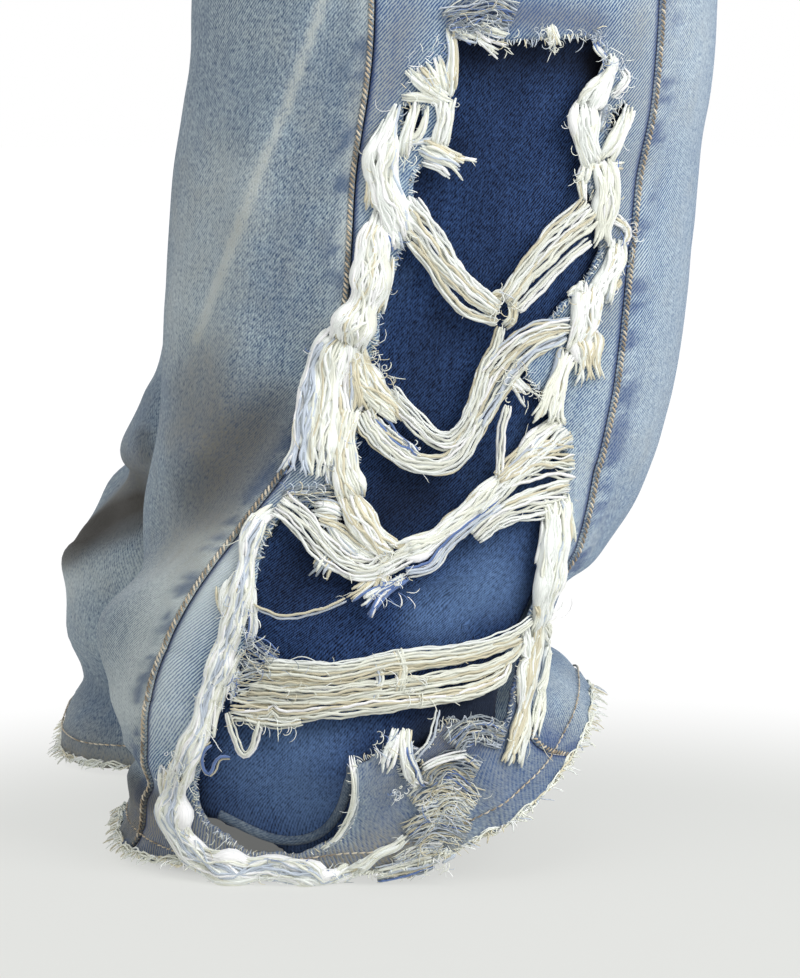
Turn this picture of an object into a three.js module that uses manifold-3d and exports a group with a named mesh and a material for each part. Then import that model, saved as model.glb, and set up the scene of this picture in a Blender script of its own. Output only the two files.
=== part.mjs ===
// Worn wide-leg jeans with a long frayed rip down the right side, in millimetres.
// +Z is up, the garment's front faces -Y and the wearer's right leg is on -X.
// The origin is the middle of the waist, where the wearer holds the garment up.
import * as THREE from "three";
import { mergeVertices } from "three/addons/utils/BufferGeometryUtils.js";
import Module from "manifold-3d";

// Driving dimensions
const WAIST_HEIGHT = 1010; // the origin above the floor that the hems reach
const CLOTH = 1.6; // wall of the outer denim
const UNDERLAY_CLOTH = 1.4; // wall of the dark denim behind the rip
const UNDERLAY_DEPTH = 5.4; // from the side panel's outer face in to the underlay's
const SEAM_GAP = 0.45; // between two panels at a seam
const LAID_GAP = 0.8; // between a panel and what is sewn on it
const HEM_CLEARANCE = 0.8; // lowest cloth above the floor
const HEM_LEVEL = { height: 3.4, softness: 5 }; // where the cloth's outer face levels out on the floor
const BAND_HEIGHT = 40; // waistband
const BAND_WALL = 2.6;
const LOOP_WIDTH = 11;
const BUTTON_RADIUS = 8.5;
const YOKE_SIDE = 0.42; // depth of the back yoke, in rings, at the side seam
const YOKE_MIDDLE = 0.8; // and at the centre back

// Points read from the side view: a column and a row of the picture give y and height.
const SIDE_VIEW = { mmPerPixel: 0.42, axisColumn: 430, floorRow: 880 };

// A leg is rings from the waist to the hem. Each has its front and back point (y, height above the
// floor), the middle and half width across, how far its sides sag below the line from front to back,
// how square it is (2 is an ellipse), and the angles of the front and back seams of the side panel.
const ring = (front, back, middle, half, sag, square, seams) => [
  ...front, ...back, middle, half, sag, square, ...seams,
];
const HIPS = [
  ring([-98, 978], [104, 992], 0, 136, 0, 2.1, [48, 104]),
  ring([-108, 905], [122, 918], 24, 142, 0, 2.1, [46, 106]),
  ring([-116, 832], [136, 842], 50, 131, 0, 2.1, [44, 108]),
  ring([-122, 742], [140, 748], 95, 95, 0, 2.1, [42, 110]),
];
const CROTCH = HIPS.length - 1;
const RIGHT_LEG = [
  ...HIPS,
  ring([-124, 640], [126, 640], 98, 93, 0, 2.2, [43, 110]),
  ring([-124, 500], [110, 500], 102, 90, 0, 2.4, [46, 108]),
  ring([-125, 371], [103, 371], 104, 87, 0, 2.5, [46, 107]),
  ring([-118, 302], [111, 300], 104, 86, 0, 2.5, [45, 107]),
  ring([-113, 241], [116, 238], 104, 86, 0, 2.5, [46, 107]),
  ring([-105, 195], [119, 190], 104, 87, 0, 2.5, [46, 112]),
  ring([-90, 153], [126, 150], 104, 88, 0, 2.5, [45, 120]),
  ring([-65, 121], [125, 115], 105, 88, 2, 2.5, [42, 129]),
  ring([-50, 97], [121, 84], 106, 90, 10, 2.6, [42, 138]),
  ring([-62, 81], [112, 50], 107, 92, 26, 2.9, [46, 147]),
  ring([-72, 66], [137, 8], 105, 89, 37, 3, [35, 150]),
];
const LEFT_LEG = [
  ...HIPS,
  ring([-119, 640], [126, 640], 98, 93, 0, 2.1, [41, 110]),
  ring([-112, 500], [114, 500], 102, 90, 0, 2.1, [40, 110]),
  ring([-100, 370], [110, 370], 104, 87, 0, 2.2, [39, 111]),
  ring([-88, 302], [119, 295], 104, 86, 0, 2.2, [39, 110]),
  ring([-78, 241], [126, 235], 104, 86, 0, 2.3, [40, 112]),
  ring([-67, 195], [132, 192], 104, 87, 0, 2.4, [40, 115]),
  ring([-50, 153], [147, 156], 104, 88, 0, 2.5, [40, 118]),
  ring([-28, 121], [146, 137], 105, 84, 2, 2.6, [40, 122]),
  ring([-16, 97], [175, 102], 106, 92, 10, 2.8, [40, 126]),
  ring([-22, 81], [178, 72], 106, 94, 24, 3.4, [41, 128]),
  ring([-32, 66], [180, 3], 105, 88, 42, 4.2, [42, 130]),
];
const HEM = RIGHT_LEG.length - 1;

// Large folds, as lines in the side view. Depth and reach run from the line's first end to its last:
// left and right are how far a fold reaches to each side of the way the line runs.
const fold = (side, line, depth, left, right = left) => ({ side, line, depth, left, right });
const [OUTER, INNER] = [1, -1];
const RIGHT_FOLDS = [
  // the long roll where the side panel drops over the back panel
  fold(OUTER,
    [[345, 330], [313, 385], [270, 465], [240, 510], [190, 570], [145, 622], [122, 690], [132, 745]],
    [0, 26], [44, 44], [7, 20]),
  fold(OUTER, [[296, 372], [215, 470], [150, 545]], [-5, -10], [20, 18]),
  // the break at the foot, with the lower front set back under it
  fold(OUTER, [[566, 575], [520, 668], [440, 712], [352, 762]], [5, 17], [12, 14], [34, 34]),
  // a soft slanting crease down the back panel, and fuller cloth over the rip
  fold(OUTER, [[324, -40], [270, 120], [190, 310]], [5, 3], [9, 9], [13, 13]),
  fold(OUTER, [[500, 560], [330, 640]], [6, 8], [26, 26]),
  fold(OUTER, [[640, 180], [560, 420]], [-4, -5], [18, 18]),
  // the inner side, plainer
  fold(INNER, [[600, 470], [380, 600], [160, 640]], [6, 9], [14, 14], [24, 24]),
  fold(INNER, [[300, 120], [420, 380]], [-5, -6], [22, 22]),
];
const LEFT_FOLDS = [
  fold(INNER, [[560, 540], [360, 600], [60, 560]], [6, 10], [12, 12], [24, 24]),
  fold(INNER, [[420, 200], [260, 470]], [-6, -6], [24, 24]),
  fold(OUTER, [[560, 520], [360, 640], [80, 600]], [8, 10], [14, 14], [24, 24]),
  fold(OUTER, [[600, 120], [420, 380]], [-5, -6], [24, 24]),
];

// The rip's outlines in the side view: one long hole and the small ones beside and below it
const RIPS = [
  [[452, 38], [486, 45], [530, 48], [590, 44], [606, 68], [586, 112], [584, 165], [597, 215], [602, 250],
    [578, 290], [548, 322], [528, 350], [526, 378], [548, 400], [553, 430], [565, 455], [566, 492],
    [552, 532], [545, 568], [530, 618], [520, 655], [470, 694], [404, 730], [354, 764], [355, 805],
    [338, 838], [296, 856], [246, 850], [206, 822], [196, 786], [212, 722], [230, 686], [246, 650],
    [252, 600], [260, 556], [276, 520], [306, 508], [340, 500], [355, 470], [358, 425], [368, 388],
    [374, 350], [384, 300], [398, 258], [416, 225], [430, 184], [446, 152], [448, 96]],
  [[608, 134], [614, 112], [626, 104], [623, 124], [613, 142]],
  [[392, 742], [412, 728], [424, 752], [420, 778], [398, 772]],
  [[436, 790], [452, 782], [458, 800], [446, 806]],
  [[420, 852], [432, 840], [444, 842], [440, 858], [426, 866]],
];

// Ropes of torn yarn along the rip's edge, and the bundles that still cross it, in the side view
const ROPE_RADIUS = 3.4;
const ROPES = [
  [[450, 30], [449, 75], [445, 120], [425, 150], [400, 120], [388, 165], [380, 230], [364, 292], [343, 355],
    [326, 415], [312, 466]],
  [[380, 230], [352, 340], [352, 440], [352, 500], [326, 500], [284, 508], [262, 536], [246, 590],
    [236, 650], [222, 705], [190, 752], [172, 772], [176, 812], [194, 842], [226, 858], [260, 864],
    [304, 863], [342, 860], [382, 850], [408, 832]],
  [[452, 30], [500, 38], [545, 40], [596, 44], [616, 76], [600, 100], [580, 132], [584, 170], [592, 205],
    [616, 225], [606, 260], [582, 296], [566, 340], [552, 400], [566, 440], [570, 490], [554, 530],
    [546, 570], [534, 618], [526, 668], [518, 720], [508, 764]],
];
const BUNDLE_RADIUS = 2.6;
const BUNDLES = [
  [[386, 210], [440, 262], [478, 300], [500, 316]],
  [[592, 205], [545, 255], [516, 290], [500, 316]],
  [[354, 390], [385, 436], [416, 462], [446, 468], [476, 448], [498, 408], [530, 352], [570, 318]],
  [[352, 484], [378, 526], [404, 548], [440, 542], [484, 516], [524, 476], [568, 440]],
  [[404, 548], [450, 552], [504, 528], [566, 500]],
  [[276, 508], [314, 530], [340, 564], [374, 580], [420, 560], [450, 552]],
  [[240, 660], [310, 664], [400, 655], [466, 648], [530, 626]],
  [[230, 690], [300, 690], [380, 676], [460, 664], [528, 644]],
  [[220, 706], [300, 710], [370, 700], [440, 686], [520, 660]],
];
// Loose ends, from where each hangs to where it ends
const TAILS = [
  [[446, 118], [452, 150], [466, 172]],
  [[592, 205], [596, 226], [598, 244]],
  [[566, 340], [578, 356], [588, 378]],
  [[326, 415], [316, 448], [300, 470]],
  [[404, 548], [384, 580], [372, 606]],
  [[534, 618], [538, 670], [538, 730]],
  [[300, 710], [286, 734], [274, 748]],
];

const { Vector3 } = THREE;
const radians = THREE.MathUtils.degToRad;
const { lerp, clamp, smoothstep } = THREE.MathUtils;

// Side view to millimetres: y and height above the floor
function fromSideView([column, row]) {
  const { mmPerPixel, axisColumn, floorRow } = SIDE_VIEW;
  return new THREE.Vector2((axisColumn - column) * mmPerPixel, (floorRow - row) * mmPerPixel);
}

// The ring at a place between two rings, on a smooth curve through all of them
function ringAt(rings, t) {
  const i = clamp(Math.floor(t), 0, rings.length - 2);
  const f = t - i;
  const at = (k) => rings[clamp(k, 0, rings.length - 1)];
  const [a, b, c, d] = [at(i - 1), at(i), at(i + 1), at(i + 2)];
  return b.map((_, k) => {
    const slopeB = (c[k] - a[k]) / 2;
    const slopeC = (d[k] - b[k]) / 2;
    const bend = 3 * (c[k] - b[k]) - 2 * slopeB - slopeC;
    const twist = slopeB + slopeC - 2 * (c[k] - b[k]);
    return b[k] + f * (slopeB + f * (bend + f * twist));
  });
}

// How far out a ring's rounded square lies in the direction of an angle
function squareRadius(angle, square) {
  return (Math.abs(Math.cos(angle)) ** square + Math.abs(Math.sin(angle)) ** square) ** (-1 / square);
}

// A height that nears the floor levels out smoothly above it.
function levelled(height) {
  const over = height - HEM_LEVEL.height;
  return HEM_LEVEL.height + (over + Math.hypot(over, HEM_LEVEL.softness)) / 2;
}

// Angle 0 is the front, 90 degrees the outer side, 180 the back and 270 the inner side.
function basePoint(rings, angle, t) {
  const [frontY, frontH, backY, backH, middle, half, sag, square] = ringAt(rings, t);
  const radius = squareRadius(angle, square);
  const forward = radius * Math.cos(angle);
  const outward = radius * Math.sin(angle);
  const height = (frontH + backH) / 2 + ((frontH - backH) / 2) * forward - sag * outward * outward;
  return new Vector3(
    Math.min(-middle - half * outward, -SEAM_GAP / 2),
    (frontY + backY) / 2 + ((frontY - backY) / 2) * forward,
    levelled(height) - WAIST_HEIGHT,
  );
}

const STEP = 0.004;
function normalOf(surface, angle, t) {
  const around = surface(angle + STEP, t).sub(surface(angle - STEP, t));
  const down = surface(angle, t + STEP).sub(surface(angle, Math.max(t - STEP, 0)));
  return around.cross(down).normalize();
}

// A fold's lift at a point of the side view
function liftOf(fold, point) {
  const line = fold.line.map(fromSideView);
  let best = { distance: Infinity };
  for (let i = 0; i + 1 < line.length; i++) {
    const along = line[i + 1].clone().sub(line[i]);
    const offset = point.clone().sub(line[i]);
    const share = clamp(offset.dot(along) / along.lengthSq(), 0, 1);
    const away = offset.sub(along.clone().multiplyScalar(share));
    const distance = away.length();
    if (distance < best.distance) {
      const turn = along.cross(away) / Math.max(along.length() * distance, 1e-9);
      best = { distance, left: 0.5 - 0.5 * turn, place: (i + share) / (line.length - 1) };
    }
  }
  const reach = lerp(lerp(...fold.right, best.place), lerp(...fold.left, best.place), best.left);
  const depth = lerp(...fold.depth, Math.sin((best.place * Math.PI) / 2));
  return depth * Math.exp(-((best.distance / reach) ** 2));
}

// A leg's surface: its rings with the folds raised along the ring's own normal
function makeLeg(rings, folds) {
  const base = (angle, t) => basePoint(rings, angle, t);
  const surface = (angle, t) => {
    const point = base(angle, t);
    const side = new THREE.Vector2(point.y, point.z + WAIST_HEIGHT);
    let lift = 0;
    for (const fold of folds) {
      const facing = smoothstep(Math.sin(angle) * fold.side, 0.02, 0.4);
      if (facing > 0) lift += facing * liftOf(fold, side);
    }
    if (lift) point.addScaledVector(normalOf(base, angle, t), lift);
    point.x = Math.min(point.x, -SEAM_GAP / 2);
    point.z = Math.max(point.z, HEM_LEVEL.height - WAIST_HEIGHT);
    return point;
  };
  const at = (angle, t, out = 0) => {
    const point = surface(angle, t);
    if (out) point.addScaledVector(normalOf(surface, angle, t), out);
    point.x = Math.min(point.x, -SEAM_GAP / 2);
    point.z = Math.max(point.z, HEM_CLEARANCE - WAIST_HEIGHT);
    return point;
  };
  return { rings, base, surface, at };
}

// Where a ring meets the middle of the body, or the inseam below the crotch, as an angle past the side
function inseamAngle(rings, t) {
  const [, , , , middle, half, , square] = ringAt(rings, t);
  if (t >= CROTCH || middle >= half) return Math.PI / 2;
  let [low, high] = [0, Math.PI / 2];
  for (let i = 0; i < 40; i++) {
    const angle = (low + high) / 2;
    if (Math.sin(angle) * squareRadius(angle, square) < middle / half) low = angle;
    else high = angle;
  }
  return high;
}

// The panels' edges as angles at a ring, from the lower angle to the higher
const PANEL_EDGES = {
  front: (rings, t) => [-inseamAngle(rings, t), radians(ringAt(rings, t)[8])],
  side: (rings, t) => [radians(ringAt(rings, t)[8]), radians(ringAt(rings, t)[9])],
  back: (rings, t) => [radians(ringAt(rings, t)[9]), Math.PI + inseamAngle(rings, t)],
};

// Angle of a share of the way across a panel, half a seam's gap in from each edge
function panelAngle(leg, edges, share, t) {
  const [low, high] = edges(leg.rings, t);
  const margin = (angle) => {
    const stretch = leg.surface(angle + STEP, t).distanceTo(leg.surface(angle - STEP, t)) / (2 * STEP);
    return SEAM_GAP / 2 / Math.max(stretch, 20);
  };
  return lerp(low + margin(low), high - margin(high), share);
}

// A closed wall from its outer and inner grids of points, rows down and columns round.
// tips gives, for a column of the first row, the four corners that its cell is drawn out to as a strand.
function wall(outer, inner, tips = new Map()) {
  const columns = outer[0].length;
  const count = outer.length * columns;
  const points = [outer, inner].flat(2);
  const index = [];
  const quad = (a, b, c, d) => index.push(a, b, c, a, c, d);
  const at = (i, j) => i * columns + j;
  const strandFrom = (corners, tip) => {
    const first = points.length;
    points.push(...tip);
    corners.forEach((corner, k) => {
      const next = (k + 1) % 4;
      quad(corner, corners[next], first + next, first + k);
    });
    quad(first, first + 1, first + 2, first + 3);
  };
  for (let i = 0; i + 1 < outer.length; i++) {
    for (let j = 0; j + 1 < columns; j++) {
      const [a, b, c, d] = [at(i, j), at(i, j + 1), at(i + 1, j + 1), at(i + 1, j)];
      if (i === 0 && tips.has(j)) strandFrom([a, b, c, d], tips.get(j));
      else quad(a, b, c, d);
      quad(count + a, count + d, count + c, count + b);
    }
    const [a, d] = [at(i, 0), at(i + 1, 0)];
    quad(a, d, count + d, count + a);
    const [b, c] = [at(i, columns - 1), at(i + 1, columns - 1)];
    quad(c, b, count + b, count + c);
  }
  const last = outer.length - 1;
  for (let j = 0; j + 1 < columns; j++) {
    quad(at(0, j + 1), at(0, j), count + at(0, j), count + at(0, j + 1));
    quad(at(last, j), at(last, j + 1), count + at(last, j + 1), count + at(last, j));
  }
  const geometry = new THREE.BufferGeometry();
  const position = points.flatMap((p) => p.toArray());
  geometry.setAttribute("position", new THREE.Float32BufferAttribute(position, 3));
  return geometry.setIndex(index);
}

// A wall on a leg's surface. place gives each point's angle and ring from its column and row.
function clothWall(leg, columns, rows, place, out = 0, thickness = CLOTH) {
  const grid = (offset) => rows.map((row) => columns.map((share) => leg.at(...place(share, row), offset)));
  return wall(grid(out), grid(out - thickness));
}

// Solids for cutting and joining
const wasm = await Module();
wasm.setup();
function solidOf(geometry) {
  const bare = new THREE.BufferGeometry();
  bare.setAttribute("position", geometry.getAttribute("position"));
  if (geometry.index) bare.setIndex(geometry.index);
  const merged = mergeVertices(bare, 1e-4);
  return new wasm.Manifold(new wasm.Mesh({
    numProp: 3,
    vertProperties: new Float32Array(merged.getAttribute("position").array),
    triVerts: new Uint32Array(merged.index.array),
  }));
}
function geometryOf(solid) {
  const mesh = solid.getMesh();
  const geometry = new THREE.BufferGeometry();
  geometry.setAttribute("position", new THREE.BufferAttribute(mesh.vertProperties, 3));
  return geometry.setIndex(new THREE.BufferAttribute(mesh.triVerts, 1));
}
const joined = (geometries) => geometryOf(geometries.map(solidOf).reduce((sum, solid) => sum.add(solid)));

// A straight cutter across the leg, from an outline in the side view
const CUTTER_REACH = [-330, -96];
function sideCutter(outline) {
  const shape = new THREE.Shape(outline.map((pixel) => {
    const point = fromSideView(pixel);
    return new THREE.Vector2(point.x, point.y - WAIST_HEIGHT);
  }));
  const depth = CUTTER_REACH[1] - CUTTER_REACH[0];
  const prism = new THREE.ExtrudeGeometry(shape, { depth, bevelEnabled: false });
  const [x, y, z] = [new Vector3(1, 0, 0), new Vector3(0, 1, 0), new Vector3(0, 0, 1)];
  const turn = new THREE.Matrix4().makeBasis(y, z, x);
  return prism.applyMatrix4(turn).translate(CUTTER_REACH[0], 0, 0);
}

// The angle and ring whose point shows at a place of the side view, on the outer side
function placeInSideView(leg, pixel) {
  const target = fromSideView(pixel);
  const angleFor = (t) => {
    const [frontY, , backY, , , , , square] = ringAt(leg.rings, t);
    const forward = clamp((target.x - (frontY + backY) / 2) / ((frontY - backY) / 2), -0.985, 0.985);
    let [low, high] = [0, Math.PI];
    for (let i = 0; i < 30; i++) {
      const angle = (low + high) / 2;
      if (squareRadius(angle, square) * Math.cos(angle) > forward) low = angle;
      else high = angle;
    }
    return high;
  };
  let [low, high] = [CROTCH, HEM];
  for (let i = 0; i < 30; i++) {
    const t = (low + high) / 2;
    if (leg.base(angleFor(t), t).z + WAIST_HEIGHT > target.y) low = t;
    else high = t;
  }
  return [angleFor(high), high];
}

// A strand of a few sides along a line of points, narrowing to its last radius
function strand(points, radii, sides) {
  const rings = points.map((point, i) => {
    const before = points[Math.max(i - 1, 0)];
    const after = points[Math.min(i + 1, points.length - 1)];
    const along = after.clone().sub(before).normalize();
    const across = Math.abs(along.x) < 0.8 ? new Vector3(1, 0, 0) : new Vector3(0, 0, 1);
    const u = across.cross(along).normalize();
    const v = along.clone().cross(u);
    const radius = lerp(radii[0], radii[1], i / (points.length - 1));
    return Array.from({ length: sides }, (_, k) => {
      const angle = ((k + 0.5) / sides) * 2 * Math.PI;
      const [across, over] = [radius * Math.cos(angle), radius * Math.sin(angle)];
      return point.clone().addScaledVector(u, across).addScaledVector(v, over);
    });
  });
  const index = [];
  for (let i = 0; i + 1 < rings.length; i++) {
    for (let k = 0; k < sides; k++) {
      const [a, b] = [i * sides + k, i * sides + ((k + 1) % sides)];
      index.push(a, b, b + sides, a, b + sides, a + sides);
    }
  }
  const end = (rings.length - 1) * sides;
  for (let k = 1; k + 1 < sides; k++) index.push(0, k + 1, k, end, end + k, end + k + 1);
  const geometry = new THREE.BufferGeometry();
  const position = rings.flat().flatMap((p) => p.toArray());
  geometry.setAttribute("position", new THREE.Float32BufferAttribute(position, 3));
  return geometry.setIndex(index);
}

// Points along a line of the side view, lying a little out from the leg
function lineOnLeg(leg, line, out, spacing) {
  const curve = new THREE.SplineCurve(line.map((pixel) => new THREE.Vector2(...pixel)));
  const count = Math.max(2, Math.round((curve.getLength() * SIDE_VIEW.mmPerPixel) / spacing));
  return curve.getSpacedPoints(count).map((pixel, i) => {
    const place = placeInSideView(leg, [pixel.x, pixel.y]);
    return leg.at(...place, out(i / count));
  });
}

// Columns across each panel, closer together where the long roll runs down the right leg's back seam
const even = (count) => Array.from({ length: count + 1 }, (_, i) => i / count);
const RIGHT_COLUMNS = {
  front: even(8),
  side: [0, 0.1, 0.2, 0.31, 0.42, 0.53, 0.64, 0.75, 0.85, 0.93, 1],
  back: [0, 0.05, 0.11, 0.18, 0.27, 0.38, 0.52, 0.68, 0.84, 1],
};
const LEFT_COLUMNS = { front: even(7), side: even(7), back: even(8) };
const HIP_ROWS = [0, 0.5, 1, 1.5, 2, 2.4, 2.7, 2.9, CROTCH, 3.25, 3.6, 4, 4.5, 5, 5.5, 6];
const spaced = (from, to, step) =>
  Array.from({ length: Math.round((to - from) / step) }, (_, i) => from + (i + 1) * step);
const RIGHT_ROWS = [...HIP_ROWS, ...spaced(6, 8, 0.5), ...spaced(8, HEM, 1 / 3)];
const LEFT_ROWS = [...HIP_ROWS, ...spaced(6, HEM, 0.5)];

// The yoke seam's ring at a share across the back, and the back's rows shifted to start below it
const yokeEdge = (share) => lerp(YOKE_SIDE, YOKE_MIDDLE, share);
const YOKE_GAP = 0.0045; // rings on each side of the seam
const belowYoke = (share, t) => {
  const top = yokeEdge(share) + YOKE_GAP;
  return t >= CROTCH ? t : top + (t * (CROTCH - top)) / CROTCH;
};

function onPanel(leg, edges, ringOf = (share, t) => t) {
  return (share, row) => {
    const t = ringOf(share, row);
    return [panelAngle(leg, edges, share, t), t];
  };
}

// The front pocket's scoop out of the front panel's upper outer corner, and the facing behind it
const POCKET_SCOOP = { width: 0.62, depth: 1.05 }; // share of the panel's width, rings down
const FACING_COLUMNS = [0.3, 0.44, 0.58, 0.72, 0.86, 1];
const FACING_ROWS = [0.02, 0.3, 0.6, 0.9, 1.2, 1.45];
const SCOOP_STEPS = 8;
function scoopCutter(leg) {
  const outline = [];
  for (let i = 0; i <= SCOOP_STEPS; i++) {
    const turn = (i / SCOOP_STEPS) * (Math.PI / 2);
    const share = 1 - POCKET_SCOOP.width * Math.cos(turn) ** 0.8;
    outline.push([share, POCKET_SCOOP.depth * Math.sin(turn) ** 0.8]);
  }
  outline[0][1] = -0.06;
  const place = onPanel(leg, PANEL_EDGES.front);
  const reach = CLOTH + 2;
  const grid = (offset) => outline.map(([start, t], i) => even(SCOOP_STEPS).map((across) => {
    const ring = Math.max(t, 0);
    const share = lerp(start, 1, across);
    const point = leg.at(...place(share, ring), offset);
    if (across === 1) point.addScaledVector(leg.at(...place(1, ring)).sub(leg.at(...place(0.9, ring))), 0.4);
    if (i === 0) point.z += 6;
    return point;
  }));
  return wall(grid(2), grid(-reach));
}

// Frayed hem: a narrow strip outside the hem with strands drawn out of it
const STRIP = { height: 2, wall: 1.2, gap: 1.3 };
const HEM_STRAND = { count: 46, length: [7, 17], root: 1.1, tip: 0.45 }; // root and tip are half widths
const RIGHT_FRINGE = [152, 430]; // degrees round the hem, clear of the rope at the rip's foot
const LEFT_FRINGE = [-89.8, 269.8];
const wave = (i, rate) => 0.5 + 0.5 * Math.sin(i * rate); // an even scatter from 0 to 1
function hemFringe(leg, span) {
  const [low, high] = span.map(radians);
  const outward = (angle) => {
    const out = normalOf(leg.surface, angle, HEM - 0.5);
    out.z = 0;
    return out.normalize();
  };
  const beside = (angle, out) => leg.surface(angle, HEM).addScaledVector(outward(angle), out);
  const angles = [low];
  const tips = new Map();
  for (let i = 0; i < HEM_STRAND.count; i++) {
    const angle = lerp(low, high, (i + 0.5) / HEM_STRAND.count);
    const along = leg.surface(angle + STEP, HEM).sub(leg.surface(angle - STEP, HEM));
    const half = (HEM_STRAND.root * 2 * STEP) / along.length();
    along.normalize();
    const heading = outward(angle).addScaledVector(along, 0.5 * wave(i, 1.9) - 0.25);
    heading.z = -0.35;
    heading.normalize();
    const tip = beside(angle, STRIP.gap + STRIP.wall);
    tip.addScaledVector(heading, lerp(...HEM_STRAND.length, wave(i, 2.7)));
    tip.z = Math.max(tip.z - 2.5 * wave(i, 3.1), HEM_CLEARANCE + 0.8 - WAIST_HEIGHT);
    tips.set(angles.length, [[-1, 1], [1, 1], [1, -1], [-1, -1]].map(([side, up]) => {
      const corner = tip.clone().addScaledVector(along, side * HEM_STRAND.tip);
      corner.z += up * HEM_STRAND.tip;
      return corner;
    }));
    angles.push(angle - half, angle + half);
  }
  angles.push(high);
  const grid = (out) => [STRIP.height, 0].map((rise) => angles.map((angle) => {
    const point = beside(angle, out);
    point.z += rise;
    return point;
  }));
  return wall(grid(STRIP.gap + STRIP.wall), grid(STRIP.gap), tips);
}

// The rip's threads: ropes along the edge, bundles across and loose ends, joined where they meet
const ROPE_LIFT = 5.6; // the ropes' middle out from the panel
const THREAD_STEP = 10.5; // spacing of the points along a rope
const FRAY = { every: 3, length: [4, 9], radii: [1.0, 0.5] }; // a loose end at every third point
function ripThreads(leg) {
  const pieces = [];
  ROPES.forEach((line) => {
    const points = lineOnLeg(leg, line, () => ROPE_LIFT, THREAD_STEP);
    const above = lineOnLeg(leg, line, () => ROPE_LIFT + 1, THREAD_STEP);
    pieces.push(strand(points, [ROPE_RADIUS, ROPE_RADIUS * 0.8], 4));
    for (let i = 1; i + 1 < points.length; i += FRAY.every) {
      const along = points[i + 1].clone().sub(points[i - 1]).normalize();
      const out = above[i].clone().sub(points[i]);
      const heading = along.clone().cross(out).multiplyScalar(i % 2 ? 1 : -1);
      heading.addScaledVector(along, 0.6 * wave(i, 2.3)).addScaledVector(out, 0.9).normalize();
      const length = ROPE_RADIUS + lerp(...FRAY.length, wave(i, 1.7));
      const tip = points[i].clone().addScaledVector(heading, length);
      tip.z = Math.max(tip.z, HEM_CLEARANCE + 1 - WAIST_HEIGHT);
      pieces.push(strand([points[i], tip], FRAY.radii, 3));
    }
  });
  BUNDLES.forEach((line) => {
    const points = lineOnLeg(leg, line, () => ROPE_LIFT, THREAD_STEP);
    pieces.push(strand(points, [BUNDLE_RADIUS, BUNDLE_RADIUS], 4));
  });
  TAILS.forEach((line) => {
    const points = lineOnLeg(leg, line, (share) => ROPE_LIFT + 2 * share, THREAD_STEP);
    pieces.push(strand(points, [2.2, 1.6], 4));
  });
  return joined(pieces);
}

// The dark underlay behind the rip, between the two seams of the side panel
const UNDERLAY = { top: 5.75, bottom: HEM - 0.35, columns: even(10), inset: [0.06, 0.92] };
function underlay(leg) {
  const rows = RIGHT_ROWS.filter((t) => t > UNDERLAY.top && t < UNDERLAY.bottom);
  rows.unshift(UNDERLAY.top);
  rows.push(UNDERLAY.bottom);
  const place = (share, t) => [panelAngle(leg, PANEL_EDGES.side, lerp(...UNDERLAY.inset, share), t), t];
  return clothWall(leg, UNDERLAY.columns, rows, place, -UNDERLAY_DEPTH, UNDERLAY_CLOTH);
}

// Back pocket: five-sided, from a grid whose lower edge drops to a point in the middle
const POCKET = { left: 0.3, right: 0.78, top: 1.15, bottom: 2.0, point: 0.16, wall: 1.4 };
function backPocket(leg) {
  const place = (share, row) => {
    const narrowing = 1 - 0.12 * row;
    const across = lerp(POCKET.left, POCKET.right, 0.5 + (share - 0.5) * narrowing);
    const drop = row * (POCKET.bottom - POCKET.top + POCKET.point * (1 - Math.abs(2 * share - 1)));
    const t = POCKET.top + drop;
    return [panelAngle(leg, PANEL_EDGES.back, across, t), t];
  };
  return clothWall(leg, even(6), even(6), place, LAID_GAP + POCKET.wall, POCKET.wall);
}

// The waistband: one strip round the waist whose left end laps over its right end at the front
const BAND = { segments: 56, lap: 16, lapOut: BAND_WALL + 0.8, start: -7, top: 5 };
function bandPoint(angle, height, out) {
  const [frontY, frontH, backY, backH, , half, , square] = HIPS[0];
  const radius = squareRadius(angle, square);
  const forward = radius * Math.cos(angle);
  const depth = (backY - frontY) / 2;
  const level = (frontH + backH) / 2 + ((frontH - backH) / 2) * forward;
  const direction = new Vector3(-Math.sin(angle) / half, -Math.cos(angle) / depth, 0).normalize();
  const point = new Vector3(-half * radius * Math.sin(angle), (frontY + backY) / 2 - depth * forward, 0);
  point.addScaledVector(direction, out - BAND.top * (height / BAND_HEIGHT));
  point.z = level + height - WAIST_HEIGHT;
  return point;
}
const BAND_FOOT = SEAM_GAP; // above the panels' top edges
function waistband() {
  const grid = (offset) => [BAND_HEIGHT + BAND_FOOT, BAND_FOOT].map((height) =>
    even(BAND.segments).map((share) => {
      const turn = lerp(BAND.start, 360 + BAND.lap + BAND.start, share);
      const lapped = smoothstep(turn, 360 - 50, 360 + BAND.start - 2);
      return bandPoint(radians(turn), height, offset + lapped * BAND.lapOut);
    }));
  return wall(grid(0.5), grid(0.5 - BAND_WALL));
}

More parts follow.
